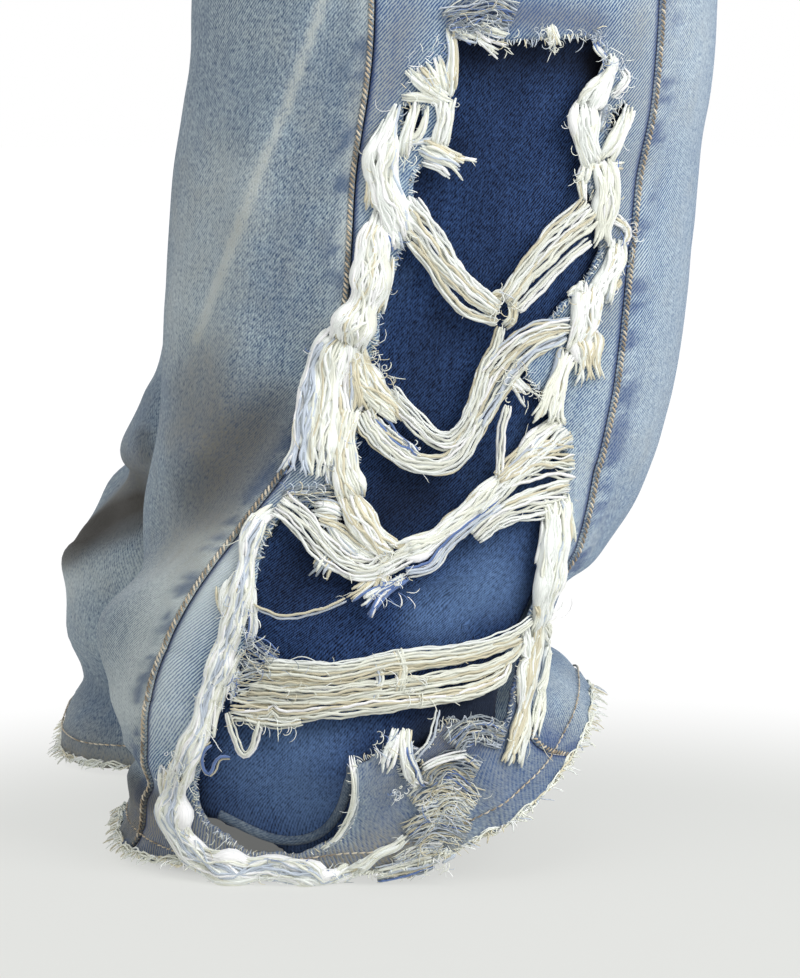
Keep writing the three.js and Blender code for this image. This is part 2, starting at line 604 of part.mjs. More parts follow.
// A belt loop: a strip that stands off the band and is bent in at both ends
const LOOP = { wall: 1.5, standOff: 1.8, over: 4, bar: 3 };
const LOOP_TURNS = [38, 112, 180, 248, 322];
function beltLoop() {
  const tall = BAND_HEIGHT + 2 * LOOP.over;
  const [inner, outer] = [LOOP.standOff, LOOP.standOff + LOOP.wall];
  const profile = new THREE.Shape([
    [0, 0], [outer, 0], [outer, tall], [0, tall], [0, tall - LOOP.bar],
    [inner, tall - LOOP.bar], [inner, LOOP.bar], [0, LOOP.bar],
  ].map((p) => new THREE.Vector2(...p)));
  const loop = new THREE.ExtrudeGeometry(profile, { depth: LOOP_WIDTH, bevelEnabled: false });
  return loop.translate(0, 0, -LOOP_WIDTH / 2).rotateX(Math.PI / 2);
}
function placeLoop(mesh, turn) {
  const angle = radians(turn);
  const foot = bandPoint(angle, BAND_FOOT - LOOP.over, 0);
  const head = bandPoint(angle, BAND_FOOT + BAND_HEIGHT + LOOP.over, 0);
  const step = bandPoint(angle + STEP, 0, 0).sub(bandPoint(angle - STEP, 0, 0)).normalize();
  const up = head.sub(foot).normalize();
  const out = step.clone().cross(up).negate().normalize();
  const side = up.clone().cross(out);
  mesh.matrix.makeBasis(out, side, up).setPosition(foot.addScaledVector(out, LOOP_CLEAR));
  mesh.matrix.decompose(mesh.position, mesh.quaternion, mesh.scale);
}
const LOOP_CLEAR = 1.2; // from the band's nominal line out to the loop's foot

// The fly: a strip down the centre front with a rounded foot, lying on the left front
const FLY = { width: 0.3, length: 1.95, wall: 1.2, bend: 0.55 };
function fly(leg) {
  const place = (share, row) => {
    const t = lerp(0.03, FLY.length, row);
    const past = Math.max((row - FLY.bend) / (1 - FLY.bend), 0);
    const round = Math.sqrt(Math.max(1 - past ** 2, 0.02));
    return [panelAngle(leg, PANEL_EDGES.front, 0.004 + share * FLY.width * round, t), t];
  };
  const rows = [0, 0.2, 0.4, 0.55, 0.7, 0.82, 0.91, 0.97, 1];
  return clothWall(leg, even(4), rows, place, LAID_GAP + FLY.wall, FLY.wall);
}

// The waist button: a shallow turned disc with a rolled rim
function button() {
  const [r, tall] = [BUTTON_RADIUS, 3.2];
  const profile = [
    [0, 0], [r - 2, 0], [r, 1], [r, 2.2], [r - 1.2, tall], [r - 2.6, tall - 0.6], [0, tall - 0.9],
  ];
  return new THREE.LatheGeometry(profile.map((p) => new THREE.Vector2(...p)), 20);
}

// Materials
const cloth = (color, roughness = 0.92) => new THREE.MeshStandardMaterial({ color, roughness, metalness: 0 });
const WASHED = cloth("#8fa3b8");
const GREYED = cloth("#79858f");
const DARK = cloth("#24375f");
const YARN = cloth("#ece6d3", 0.95);
const BRASS = new THREE.MeshStandardMaterial({ color: "#9a7c4e", roughness: 0.4, metalness: 1 });

const jeans = new THREE.Group();
const rightGroup = new THREE.Group();
const leftGroup = new THREE.Group(); // built as a right leg and mirrored
leftGroup.scale.x = -1;
jeans.add(rightGroup, leftGroup);
function add(group, name, geometry, material) {
  const mesh = new THREE.Mesh(geometry, material);
  mesh.name = name;
  group.add(mesh);
  return mesh;
}

// The legs
const right = makeLeg(RIGHT_LEG, RIGHT_FOLDS);
const left = makeLeg(LEFT_LEG, LEFT_FOLDS);
for (const [side, group, leg, columns, rows, fringe] of [
  ["right", rightGroup, right, RIGHT_COLUMNS, RIGHT_ROWS, RIGHT_FRINGE],
  ["left", leftGroup, left, LEFT_COLUMNS, LEFT_ROWS, LEFT_FRINGE],
]) {
  const onFront = onPanel(leg, PANEL_EDGES.front);
  const front = clothWall(leg, columns.front, rows, onFront);
  const scooped = geometryOf(solidOf(front).subtract(solidOf(scoopCutter(leg))));
  add(group, `front_${side}`, scooped, WASHED);
  const facing = clothWall(leg, FACING_COLUMNS, FACING_ROWS, onFront, -CLOTH - LAID_GAP, 1);
  add(group, `pocket_facing_${side}`, facing, WASHED);

  let sidePanel = clothWall(leg, columns.side, rows, onPanel(leg, PANEL_EDGES.side));
  if (leg === right) {
    const holes = RIPS.map((outline) => solidOf(sideCutter(outline)));
    sidePanel = geometryOf(holes.reduce((rest, hole) => rest.subtract(hole), solidOf(sidePanel)));
  }
  add(group, `side_${side}`, sidePanel, WASHED);

  const onBack = onPanel(leg, PANEL_EDGES.back, belowYoke);
  add(group, `back_${side}`, clothWall(leg, columns.back, rows, onBack), GREYED);
  const yokePlace = onPanel(leg, PANEL_EDGES.back, (share, row) => row * (yokeEdge(share) - YOKE_GAP));
  add(group, `yoke_${side}`, clothWall(leg, columns.back, [0, 0.5, 1], yokePlace), GREYED);
  add(group, `back_pocket_${side}`, backPocket(leg), GREYED);
  add(group, `hem_fringe_${side}`, hemFringe(leg, fringe), YARN);
}
add(rightGroup, "rip_underlay", underlay(right), DARK);
add(rightGroup, "rip_threads", ripThreads(right), YARN);

// The waist
add(jeans, "waistband", waistband(), WASHED);
LOOP_TURNS.forEach((turn, i) => placeLoop(add(jeans, `belt_loop_${i + 1}`, beltLoop(), WASHED), turn));
add(leftGroup, "fly", fly(left), WASHED);
const stud = add(jeans, "waist_button", button(), BRASS);
const studFoot = bandPoint(0, BAND_FOOT + BAND_HEIGHT / 2, 0.5 + BAND.lapOut + SEAM_GAP);
stud.position.copy(studFoot);
stud.rotation.x = Math.PI - Math.atan2(BAND.top, BAND_HEIGHT);

export default jeans;
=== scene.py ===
# Looks of the worn, ripped wide-leg jeans: cloth shells, torn yarn, stitching, floor and light.
import math

import bpy
import numpy as np
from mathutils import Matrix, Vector


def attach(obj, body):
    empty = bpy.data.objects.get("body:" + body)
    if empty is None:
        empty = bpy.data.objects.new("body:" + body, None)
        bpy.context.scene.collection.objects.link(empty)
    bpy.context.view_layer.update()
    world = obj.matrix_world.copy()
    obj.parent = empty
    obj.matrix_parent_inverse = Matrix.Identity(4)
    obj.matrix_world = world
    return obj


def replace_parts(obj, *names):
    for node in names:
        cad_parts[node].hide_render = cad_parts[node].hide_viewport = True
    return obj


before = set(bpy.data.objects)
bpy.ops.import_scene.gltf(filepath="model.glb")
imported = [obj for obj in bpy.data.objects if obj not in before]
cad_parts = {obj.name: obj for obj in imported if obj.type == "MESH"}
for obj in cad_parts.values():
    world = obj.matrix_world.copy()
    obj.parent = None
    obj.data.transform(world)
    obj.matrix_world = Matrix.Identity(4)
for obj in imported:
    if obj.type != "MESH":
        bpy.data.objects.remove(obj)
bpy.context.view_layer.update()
rng = np.random.default_rng(29)

# Sizes in millimetres, as in the part's source
MM = 0.001
WAIST_HEIGHT = 1010.0
CLOTH = 1.6
UNDERLAY_CLOTH = 1.4
UNDERLAY_DEPTH = 5.4
LAID_GAP = 0.8
HEM_CLEARANCE = 0.8
HEM_LEVEL, HEM_SOFTNESS = 3.4, 5.0
BAND_HEIGHT, BAND_WALL, BAND_LEAN, BAND_FOOT = 40.0, 2.6, 5.0, 0.45
BAND_START, BAND_LAP = -7.0, 16.0
YOKE_SIDE, YOKE_MIDDLE = 0.42, 0.8
MIDDLE_GAP = 0.2
# Step in angle and ring from which slopes are taken
STEP = 0.004

# Side view: a column and a row of the picture give y and height above the floor
MM_PER_PIXEL, AXIS_COLUMN, FLOOR_ROW = 0.42, 430.0, 880.0


def side_view(pixels):
    pixels = np.asarray(pixels, float)
    y = (AXIS_COLUMN - pixels[..., 0]) * MM_PER_PIXEL
    return np.stack([y, (FLOOR_ROW - pixels[..., 1]) * MM_PER_PIXEL], -1)


# The photograph's view, in degrees and metres, and its size in pixels
CAMERA_ELEVATION, CAMERA_DISTANCE = math.radians(8.0), 1.6
CAMERA_TARGET = Vector((-0.190, 0.0126, -0.841))
FRAME_HEIGHT = 0.411
PICTURE = 800, 978
TOWARD_CAMERA = Vector((-math.cos(CAMERA_ELEVATION), 0, math.sin(CAMERA_ELEVATION)))
CAMERA_PLACE = CAMERA_TARGET + TOWARD_CAMERA * CAMERA_DISTANCE


def seen(points):
    """Where points in millimetres show in the photograph, as y and height of the side view."""
    offset = np.asarray(points, float) * MM - np.array(CAMERA_PLACE)
    focal = PICTURE[1] * CAMERA_DISTANCE / FRAME_HEIGHT
    scale = focal / -(offset @ np.array(TOWARD_CAMERA))
    rise = offset @ (math.sin(CAMERA_ELEVATION), 0, math.cos(CAMERA_ELEVATION))
    column = PICTURE[0] / 2 - scale * offset[..., 1]
    return side_view(np.stack([column, PICTURE[1] / 2 - scale * rise], -1))


# The legs' rings from waist to hem: front y and height, back y and height, middle, half width,
# sag, squareness, and the angles of the side panel's front and back seams
HIPS = [
    [-98, 978, 104, 992, 0, 136, 0, 2.1, 48, 104],
    [-108, 905, 122, 918, 24, 142, 0, 2.1, 46, 106],
    [-116, 832, 136, 842, 50, 131, 0, 2.1, 44, 108],
    [-122, 742, 140, 748, 95, 95, 0, 2.1, 42, 110],
]
CROTCH = len(HIPS) - 1
RIGHT_RINGS = np.array(HIPS + [
    [-124, 640, 126, 640, 98, 93, 0, 2.2, 43, 110],
    [-124, 500, 110, 500, 102, 90, 0, 2.4, 46, 108],
    [-125, 371, 103, 371, 104, 87, 0, 2.5, 46, 107],
    [-118, 302, 111, 300, 104, 86, 0, 2.5, 45, 107],
    [-113, 241, 116, 238, 104, 86, 0, 2.5, 46, 107],
    [-105, 195, 119, 190, 104, 87, 0, 2.5, 46, 112],
    [-90, 153, 126, 150, 104, 88, 0, 2.5, 45, 120],
    [-65, 121, 125, 115, 105, 88, 2, 2.5, 42, 129],
    [-50, 97, 121, 84, 106, 90, 10, 2.6, 42, 138],
    [-62, 81, 112, 50, 107, 92, 26, 2.9, 46, 147],
    [-72, 66, 137, 8, 105, 89, 37, 3, 35, 150],
], float)
LEFT_RINGS = np.array(HIPS + [
    [-119, 640, 126, 640, 98, 93, 0, 2.1, 41, 110],
    [-112, 500, 114, 500, 102, 90, 0, 2.1, 40, 110],
    [-100, 370, 110, 370, 104, 87, 0, 2.2, 39, 111],
    [-88, 302, 119, 295, 104, 86, 0, 2.2, 39, 110],
    [-78, 241, 126, 235, 104, 86, 0, 2.3, 40, 112],
    [-67, 195, 132, 192, 104, 87, 0, 2.4, 40, 115],
    [-50, 153, 147, 156, 104, 88, 0, 2.5, 40, 118],
    [-28, 121, 146, 137, 105, 84, 2, 2.6, 40, 122],
    [-16, 97, 175, 102, 106, 92, 10, 2.8, 40, 126],
    [-22, 81, 178, 72, 106, 94, 24, 3.4, 41, 128],
    [-32, 66, 180, 3, 105, 88, 42, 4.2, 42, 130],
], float)
HEM = len(RIGHT_RINGS) - 1
FRONT_SEAM, BACK_SEAM = 8, 9

# Folds: side of the leg, line in the side view, depth at both ends, reach to each side of the line
OUTER, INNER, FRONT, BACK = 1, -1, 2, -2
RIGHT_FOLDS = [
    (OUTER,
     [(345, 330), (313, 385), (270, 465), (240, 510), (190, 570), (145, 622), (122, 690), (132, 745)],
     (0, 26), (44, 44), (7, 20)),
    (OUTER, [(296, 372), (215, 470), (150, 545)], (-5, -10), (20, 18), (20, 18)),
    (OUTER, [(566, 575), (520, 668), (440, 712), (352, 762)], (5, 17), (12, 14), (34, 34)),
    (OUTER, [(324, -40), (270, 120), (190, 310)], (5, 3), (9, 9), (13, 13)),
    (OUTER, [(500, 560), (330, 640)], (6, 8), (26, 26), (26, 26)),
    (OUTER, [(640, 180), (560, 420)], (-4, -5), (18, 18), (18, 18)),
    (INNER, [(600, 470), (380, 600), (160, 640)], (6, 9), (14, 14), (24, 24)),
    (INNER, [(300, 120), (420, 380)], (-5, -6), (22, 22), (22, 22)),
]
LEFT_FOLDS = [
    (INNER, [(560, 540), (360, 600), (60, 560)], (6, 10), (12, 12), (24, 24)),
    (INNER, [(420, 200), (260, 470)], (-6, -6), (24, 24), (24, 24)),
    (OUTER, [(560, 520), (360, 640), (80, 600)], (8, 10), (14, 14), (24, 24)),
    (OUTER, [(600, 120), (420, 380)], (-5, -6), (24, 24), (24, 24)),
]
# Smaller creases that only the shells have
RIGHT_CREASES = [
    (OUTER, [(250, 330), (205, 420), (165, 470)], (1.5, 2.5), (5, 6), (9, 10)),
    (OUTER, [(215, 560), (175, 610), (150, 680)], (-1.2, -1.8), (5, 5), (6, 6)),
    (OUTER, [(226, 505), (190, 545), (140, 590), (112, 640)], (-3, -5), (9, 9), (9, 9)),
    (OUTER, [(222, 545), (170, 590), (128, 650), (116, 700)], (2, 4), (10, 10), (10, 10)),
    (OUTER, [(262, 210), (232, 330), (212, 450)], (3, 3), (12, 12), (16, 16)),
    (OUTER, [(228, 150), (205, 280), (190, 420)], (-3, -3), (9, 9), (9, 9)),
    (OUTER, [(640, 430), (600, 500), (575, 540)], (1.5, 2.0), (5, 5), (8, 8)),
    (OUTER, [(600, 470), (560, 560)], (-1.5, -1.5), (5, 5), (6, 6)),
    (OUTER, [(380, 770), (372, 850)], (1.6, 1.6), (6, 6), (8, 8)),
    (OUTER, [(470, 740), (520, 820)], (1.8, 1.8), (7, 7), (9, 9)),
    (OUTER, [(560, 690), (575, 780)], (-1.5, -1.5), (6, 6), (6, 6)),
    (OUTER, [(470, 560), (330, 590)], (1.6, 1.0), (5, 5), (9, 9)),
    (OUTER, [(440, 590), (300, 650)], (-1.4, -1.4), (6, 6), (6, 6)),
    (OUTER, [(330, 730), (250, 790)], (1.8, 1.8), (7, 7), (9, 9)),
    (FRONT, [(572, 598), (564, 618), (558, 636), (558, 650)], (-8, -9), (11, 11), (11, 11)),
    (BACK, [(136, 772), (128, 800)], (8, 9), (13, 13), (13, 13)),
    (OUTER, [(116, 748), (136, 780), (160, 800)], (-4, -5), (6, 6), (6, 6)),
    (INNER, [(560, 520), (420, 640), (200, 660)], (2, 2), (6, 6), (9, 9)),
    (INNER, [(520, 420), (300, 520)], (-2, -2), (8, 8), (8, 8)),
]
LEFT_CREASES = [
    (INNER, [(122, 460), (118, 515)], (5, 5), (11, 11), (11, 11)),
    (INNER, [(5, 604), (55, 585), (104, 560)], (-8, -9), (12, 12), (12, 12)),
    (INNER, [(5, 642), (55, 634), (104, 620)], (6, 6), (10, 10), (10, 10)),
    (INNER, [(25, 768), (90, 778)], (-8, -5), (11, 11), (11, 11)),
    (BACK, [(-20, 796), (60, 796)], (-9, -9), (12, 12), (12, 12)),
    (OUTER, [(520, 500), (300, 560), (90, 540)], (2, 2), (6, 6), (9, 9)),
    (OUTER, [(480, 620), (240, 680)], (-2, -2), (8, 8), (8, 8)),
]

# Where a fold fades out round the leg: sine or cosine of the angle from none to full
SIDE_FACING, END_FACING = (0.02, 0.4), (0.3, 0.8)
# Ripples all over the cloth: height, size, seed
RIPPLES = [(0.9, 48, 3), (0.4, 17, 5)]

# The rip's outlines in the side view
RIPS = [
    [(456, 34), (486, 42), (530, 42), (592, 38), (606, 62), (586, 112), (584, 165), (597, 215),
     (602, 250), (578, 290), (548, 322), (528, 350), (526, 378), (548, 400), (553, 430), (565, 455),
     (566, 492), (552, 532), (545, 568), (530, 618), (519, 660), (511, 705), (500, 734), (470, 719),
     (440, 724), (424, 752), (404, 742), (354, 764), (355, 805), (338, 838), (296, 856), (246, 850),
     (206, 822), (196, 786), (212, 722), (230, 686), (246, 650), (252, 600), (260, 556), (276, 520),
     (306, 508), (340, 500), (355, 470), (358, 425), (368, 388), (374, 350), (384, 300), (398, 258),
     (416, 225), (412, 198), (414, 178), (424, 164), (446, 152), (448, 96)],
    [(404, 106), (422, 106), (423, 126), (413, 140), (405, 138)],
    [(608, 134), (614, 112), (626, 104), (623, 124), (613, 142)],
    [(400, 756), (420, 762), (420, 780), (402, 774)],
    [(436, 790), (452, 782), (458, 800), (446, 806)],
    [(420, 852), (432, 840), (444, 842), (440, 858), (426, 866)],
]


# Smooth seeded noise from -1 to 1 at points in space
def lattice(ix, iy, iz, seed):
    n = (ix * 73856093) ^ (iy * 19349663) ^ (iz * 83492791) ^ (seed * 2654435761)
    n = ((n ^ (n >> 13)) * 1274126177) & 0xFFFFFFFF
    return ((n ^ (n >> 16)) & 0xFFFF) / 32767.5 - 1


def noise(points, size, seed):
    p = np.asarray(points, float) / size
    cell = np.floor(p).astype(np.int64)
    f = p - cell
    f = f * f * (3 - 2 * f)
    total = 0
    for corner in np.ndindex(2, 2, 2):
        weight = 1
        for k, far in enumerate(corner):
            weight = weight * (f[..., k] if far else 1 - f[..., k])
        total = total + weight * lattice(*np.moveaxis(cell + corner, -1, 0), seed)
    return total


def smooth(x, low, high):
    f = np.clip((x - low) / (high - low), 0, 1)
    return f * f * (3 - 2 * f)


def mix(a, b, share):
    return a + (b - a) * share


def unit(v):
    return v / np.maximum(np.linalg.norm(v, axis=-1, keepdims=True), 1e-9)


def travel(points):
    """Length along a line from its first point to each of its points."""
    return np.append(0, np.cumsum(np.linalg.norm(np.diff(points, axis=0), axis=1)))


def read_along(place, s, values):
    """Values that a line has at lengths s, read at other lengths."""
    return np.stack([np.interp(place, s, column) for column in values.T], -1)


# The leg's surface, in the same way as the part's source makes it
def ring_at(rings, t):
    t = np.asarray(t, float)
    i = np.clip(np.floor(t).astype(int), 0, len(rings) - 2)
    f = (t - i)[..., None]
    a, b, c, d = (rings[np.clip(i + k, 0, len(rings) - 1)] for k in (-1, 0, 1, 2))
    slope_b = (c - a) / 2
    slope_c = (d - b) / 2
    bend = 3 * (c - b) - 2 * slope_b - slope_c
    twist = slope_b + slope_c - 2 * (c - b)
    return b + f * (slope_b + f * (bend + f * twist))


def square_radius(angle, square):
    return (np.abs(np.cos(angle)) ** square + np.abs(np.sin(angle)) ** square) ** (-1 / square)


def line_distance(line, y, h):
    """Distance to a line of the side view, the place along it from 0 to 1, and the side of it.

    The side goes from 0 on the line's right to 1 on its left."""
    line = side_view(line)
    best = np.full(np.shape(y), np.inf)
    place = np.zeros(np.shape(y))
    left = np.zeros(np.shape(y))
    for i in range(len(line) - 1):
        along = line[i + 1] - line[i]
        oy, oh = y - line[i][0], h - line[i][1]
        share = np.clip((oy * along[0] + oh * along[1]) / (along @ along), 0, 1)
        ay, ah = oy - share * along[0], oh - share * along[1]
        distance = np.hypot(ay, ah)
        nearer = distance < best
        best = np.where(nearer, distance, best)
        place = np.where(nearer, (i + share) / (len(line) - 1), place)
        turn = (along[0] * ah - along[1] * ay) / np.maximum(distance * np.hypot(*along), 1e-9)
        left = np.where(nearer, 0.5 - 0.5 * turn, left)
    return best, place, left


class Leg:
    """A leg built as a right leg; mirror -1 makes it a left leg."""

    # Rounds of halving that find an angle or a ring, and of aiming at a place in the picture
    HALVINGS, SEAM_HALVINGS, AIM_ROUNDS = 18, 40, 6
    AIM_SHARE, AIM_LIMIT, OUTLINE_LIMIT = 0.7, 30.0, 0.985

    def __init__(self, rings, folds, mirror):
        self.rings = rings
        self.folds = folds
        self.mirror = mirror

    def base(self, angle, t):
        """Points of the smooth leg, at angles from the front over the outer side and at rings down it."""
        ring = ring_at(self.rings, t)
        front_y, front_h, back_y, back_h, middle, half, sag, square = (ring[..., k] for k in range(8))
        radius = square_radius(angle, square)
        forward, outward = radius * np.cos(angle), radius * np.sin(angle)
        height = (front_h + back_h) / 2 + (front_h - back_h) / 2 * forward - sag * outward ** 2
        over = height - HEM_LEVEL
        height = HEM_LEVEL + (over + np.hypot(over, HEM_SOFTNESS)) / 2
        x = np.minimum(-middle - half * outward, -MIDDLE_GAP)
        y = (front_y + back_y) / 2 + (front_y - back_y) / 2 * forward
        return np.stack([x, y, height - WAIST_HEIGHT], -1)

    def surface(self, angle, t):
        """Points of the leg with its ripples, folds and creases."""
        angle, t = np.broadcast_arrays(np.asarray(angle, float), np.asarray(t, float))
        point = self.base(angle, t)
        y, h = point[..., 1], point[..., 2] + WAIST_HEIGHT
        lift = sum(height * noise(point, size, seed) for height, size, seed in RIPPLES)
        for side, line, depth, reach_left, reach_right in self.folds:
            if side in (FRONT, BACK):
                facing = smooth(np.cos(angle) * side / 2, *END_FACING)
            else:
                facing = smooth(np.sin(angle) * side, *SIDE_FACING)
            distance, place, left = line_distance(line, y, h)
            reach = mix(mix(*reach_right, place), mix(*reach_left, place), left)
            height = mix(*depth, np.sin(place * math.pi / 2))
            lift = lift + facing * height * np.exp(-(distance / reach) ** 2)
        point = point + self.slope(self.base, angle, t) * lift[..., None]
        point[..., 0] = np.minimum(point[..., 0], -MIDDLE_GAP)
        point[..., 2] = np.maximum(point[..., 2], HEM_LEVEL - WAIST_HEIGHT)
        return point

    def slope(self, surface, angle, t):
        """Directions straight out of a surface."""
        around = surface(angle + STEP, t) - surface(angle - STEP, t)
        down = surface(angle, t + STEP) - surface(angle, np.maximum(t - STEP, 0))
        return unit(np.cross(around, down))

    def at(self, angle, t, out):
        """Points at distances out from the surface, kept off the floor."""
        point = self.surface(angle, t)
        point = point + self.slope(self.surface, angle, t) * np.asarray(out, float)[..., None]
        point[..., 2] = np.maximum(point[..., 2], HEM_CLEARANCE - WAIST_HEIGHT)
        return point

    def inseam(self, t):
        """The angle past the side where a ring meets the middle of the body, or the inseam."""
        ring = ring_at(self.rings, t)
        ratio, square = ring[..., 4] / ring[..., 5], ring[..., 7]
        low, high = np.zeros_like(ratio), np.full_like(ratio, math.pi / 2)
        for _ in range(self.SEAM_HALVINGS):
            middle = (low + high) / 2
            below = np.sin(middle) * square_radius(middle, square) < ratio
            low, high = np.where(below, middle, low), np.where(below, high, middle)
        return np.where(np.asarray(t) >= CROTCH, math.pi / 2, high)

    def edges(self, panel, t):
        """Angles of a panel's two edges."""
        ring = ring_at(self.rings, t)
        front, back = np.radians(ring[..., FRONT_SEAM]), np.radians(ring[..., BACK_SEAM])
        if panel == "front":
            return -self.inseam(t), front
        if panel == "side":
            return front, back
        return back, math.pi + self.inseam(t)

    def place(self, pixels):
        """The angle and ring that show at places of the picture, on the outer side."""
        target = side_view(pixels)
        shift = np.zeros_like(target)
        for _ in range(self.AIM_ROUNDS):
            aim = target + shift
            low, high = np.full(len(target), float(CROTCH)), np.full(len(target), float(HEM))
            for _ in range(self.HALVINGS):
                t = (low + high) / 2
                above = self.base(self.angle_for(aim[:, 0], t), t)[:, 2] + WAIST_HEIGHT > aim[:, 1]
                low, high = np.where(above, t, low), np.where(above, high, t)
            angle = self.angle_for(aim[:, 0], high)
            missed = target - seen(self.surface(angle, high))
            shift = np.clip(shift + self.AIM_SHARE * missed, -self.AIM_LIMIT, self.AIM_LIMIT)
        return angle, high

    def angle_for(self, y, t):
        """Angles on the outer side at which rings come to given y."""
        ring = ring_at(self.rings, t)
        middle, half = (ring[..., 0] + ring[..., 2]) / 2, (ring[..., 0] - ring[..., 2]) / 2
        forward = np.clip((y - middle) / half, -self.OUTLINE_LIMIT, self.OUTLINE_LIMIT)
        low, high = np.zeros_like(forward), np.full_like(forward, math.pi)
        for _ in range(self.HALVINGS):
            angle = (low + high) / 2
            ahead = square_radius(angle, ring[..., 7]) * np.cos(angle) > forward
            low, high = np.where(ahead, angle, low), np.where(ahead, high, angle)
        return high


RIGHT = Leg(RIGHT_RINGS, RIGHT_FOLDS + RIGHT_CREASES, 1)
LEFT = Leg(LEFT_RINGS, LEFT_FOLDS + LEFT_CREASES, -1)
LEGS = ((RIGHT, "right"), (LEFT, "left"))


def mesh_object(name, points, faces, material, uv=None, values=None, colors=None, mirror=1):
    """A smooth mesh from points in millimetres and index arrays of faces, each array with one corner count.

    It may have a UV in millimetres, values and named colours at its points."""
    points = np.asarray(points, float) * MM * (mirror, 1, 1)
    corners = np.concatenate([part[:, ::mirror].ravel() for part in faces]).astype(np.int32)
    sizes = np.concatenate([np.full(len(part), part.shape[1], np.int32) for part in faces])
    mesh = bpy.data.meshes.new(name)
    mesh.vertices.add(len(points))
    mesh.vertices.foreach_set("co", points.astype(np.float32).ravel())
    mesh.loops.add(len(corners))
    mesh.loops.foreach_set("vertex_index", corners)
    mesh.polygons.add(len(sizes))
    mesh.polygons.foreach_set("loop_start", np.cumsum(sizes, dtype=np.int32) - sizes)
    mesh.polygons.foreach_set("use_smooth", np.ones(len(sizes), bool))
    mesh.update(calc_edges=True)
    if uv is not None:
        layer = mesh.uv_layers.new(name="weave")
        layer.data.foreach_set("uv", np.asarray(uv, np.float32)[corners].ravel())
    for key, value in (values or {}).items():
        mesh.attributes.new(key, "FLOAT", "POINT").data.foreach_set("value", np.asarray(value, np.float32))
    for key, color in (colors or {}).items():
        rgba = np.concatenate([color, np.ones((len(color), 1))], 1).astype(np.float32)
        mesh.attributes.new(key, "FLOAT_COLOR", "POINT").data.foreach_set("color", rgba.ravel())
    mesh.materials.append(material)
    obj = bpy.data.objects.new(name, mesh)
    bpy.context.scene.collection.objects.link(obj)
    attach(obj, "root")
    return obj


def grid_slope(points):
    return unit(np.cross(np.gradient(points, axis=1), np.gradient(points, axis=0)))


def shell(outer, inner, keep=None):
    """Points and quads of a closed wall from two grids, without the cells that keep leaves out."""
    rows, columns = outer.shape[:2]
    count = rows * columns
    index = np.arange(count).reshape(rows, columns)
    cells = np.stack([index[:-1, :-1], index[:-1, 1:], index[1:, 1:], index[1:, :-1]], -1).reshape(-1, 4)
    if keep is not None:
        cells = cells[keep.ravel()]
    edges = np.concatenate([cells[:, [k, (k + 1) % 4]] for k in range(4)])
    key = np.sort(edges, 1)
    _, first, times = np.unique(key[:, 0] * count + key[:, 1], return_index=True, return_counts=True)
    rim = edges[first[times == 1]]
    walls = np.stack([rim[:, 1], rim[:, 0], rim[:, 0] + count, rim[:, 1] + count], -1)
    faces = np.concatenate([cells, cells[:, ::-1] + count, walls])
    points = np.concatenate([outer.reshape(-1, 3), inner.reshape(-1, 3)])
    used = np.unique(faces)
    renumber = np.zeros(2 * count, np.int64)
    renumber[used] = np.arange(len(used))
    return points[used], [renumber[faces]], used % count


def arc(points, axis):
    """Length along each row or column of a grid of points."""
    steps = np.linalg.norm(np.diff(points, axis=axis), axis=-1)
    pad = [(0, 0), (0, 0)]
    pad[axis] = (1, 0)
    return np.pad(np.cumsum(steps, axis=axis), pad)


# Materials
SHEEN_ROUGHNESS, SPECULAR = 0.6, 0.2


def linear(red, green, blue):
    """A colour's red, green and blue from 0 to 255 as the shaders take it."""
    value = np.array([red, green, blue]) / 255
    value = np.where(value <= 0.04045, value / 12.92, ((value + 0.055) / 1.055) ** 2.4)
    return (*value, 1.0)


class Nodes:
    """A material's node tree, with short ways to add what the cloth needs."""

    def __init__(self, name):
        self.material = bpy.data.materials.new(name)
        self.material.use_nodes = True
        self.tree = self.material.node_tree
        self.shader = self.tree.nodes["Principled BSDF"]

    def add(self, kind, *inputs, **settings):
        node = self.tree.nodes.new(kind)
        for key, value in settings.items():
            setattr(node, key, value)
        for k, value in enumerate(inputs):
            self.set(node.inputs[k], value)
        return node

    def set(self, socket, value):
        if isinstance(value, bpy.types.NodeSocket):
            self.tree.links.new(value, socket)
        elif value is not None:
            socket.default_value = value

    def math(self, operation, a, b=None, c=None, clamp=False):
        return self.add("ShaderNodeMath", a, b, c, operation=operation, use_clamp=clamp).outputs[0]

    def blend(self, factor, a, b):
        node = self.add("ShaderNodeMix", data_type="RGBA", clamp_factor=True)
        self.set(node.inputs[0], factor)
        self.set(node.inputs[6], a)
        self.set(node.inputs[7], b)
        return node.outputs[2]

    def noise(self, vector, scale, detail=2.0):
        node = self.add("ShaderNodeTexNoise", noise_dimensions="3D")
        self.set(node.inputs["Vector"], vector)
        node.inputs["Scale"].default_value = scale
        node.inputs["Detail"].default_value = detail
        return node.outputs["Fac"]

    def scaled(self, vector, scale):
        return self.add("ShaderNodeVectorMath", vector, scale, operation="MULTIPLY").outputs[0]

    def value(self, name):
        return self.add("ShaderNodeAttribute", attribute_name=name).outputs["Fac"]

    def bump(self, height, strength, distance):
        node = self.add("ShaderNodeBump")
        node.inputs["Strength"].default_value = strength
        node.inputs["Distance"].default_value = distance
        self.set(node.inputs["Height"], height)
        self.set(self.shader.inputs["Normal"], node.outputs[0])

    def ramp(self, value, start, end, low, high):
        node = self.add("ShaderNodeMapRange", value, start, end, low, high, interpolation_type="SMOOTHSTEP")
        return node.outputs[0]

    def finish(self, color, roughness, sheen):
        self.set(self.shader.inputs["Base Color"], color)
        self.set(self.shader.inputs["Roughness"], roughness)
        self.shader.inputs["Sheen Weight"].default_value = sheen
        self.shader.inputs["Sheen Roughness"].default_value = SHEEN_ROUGHNESS
        self.shader.inputs["Specular IOR Level"].default_value = SPECULAR
        return self.material


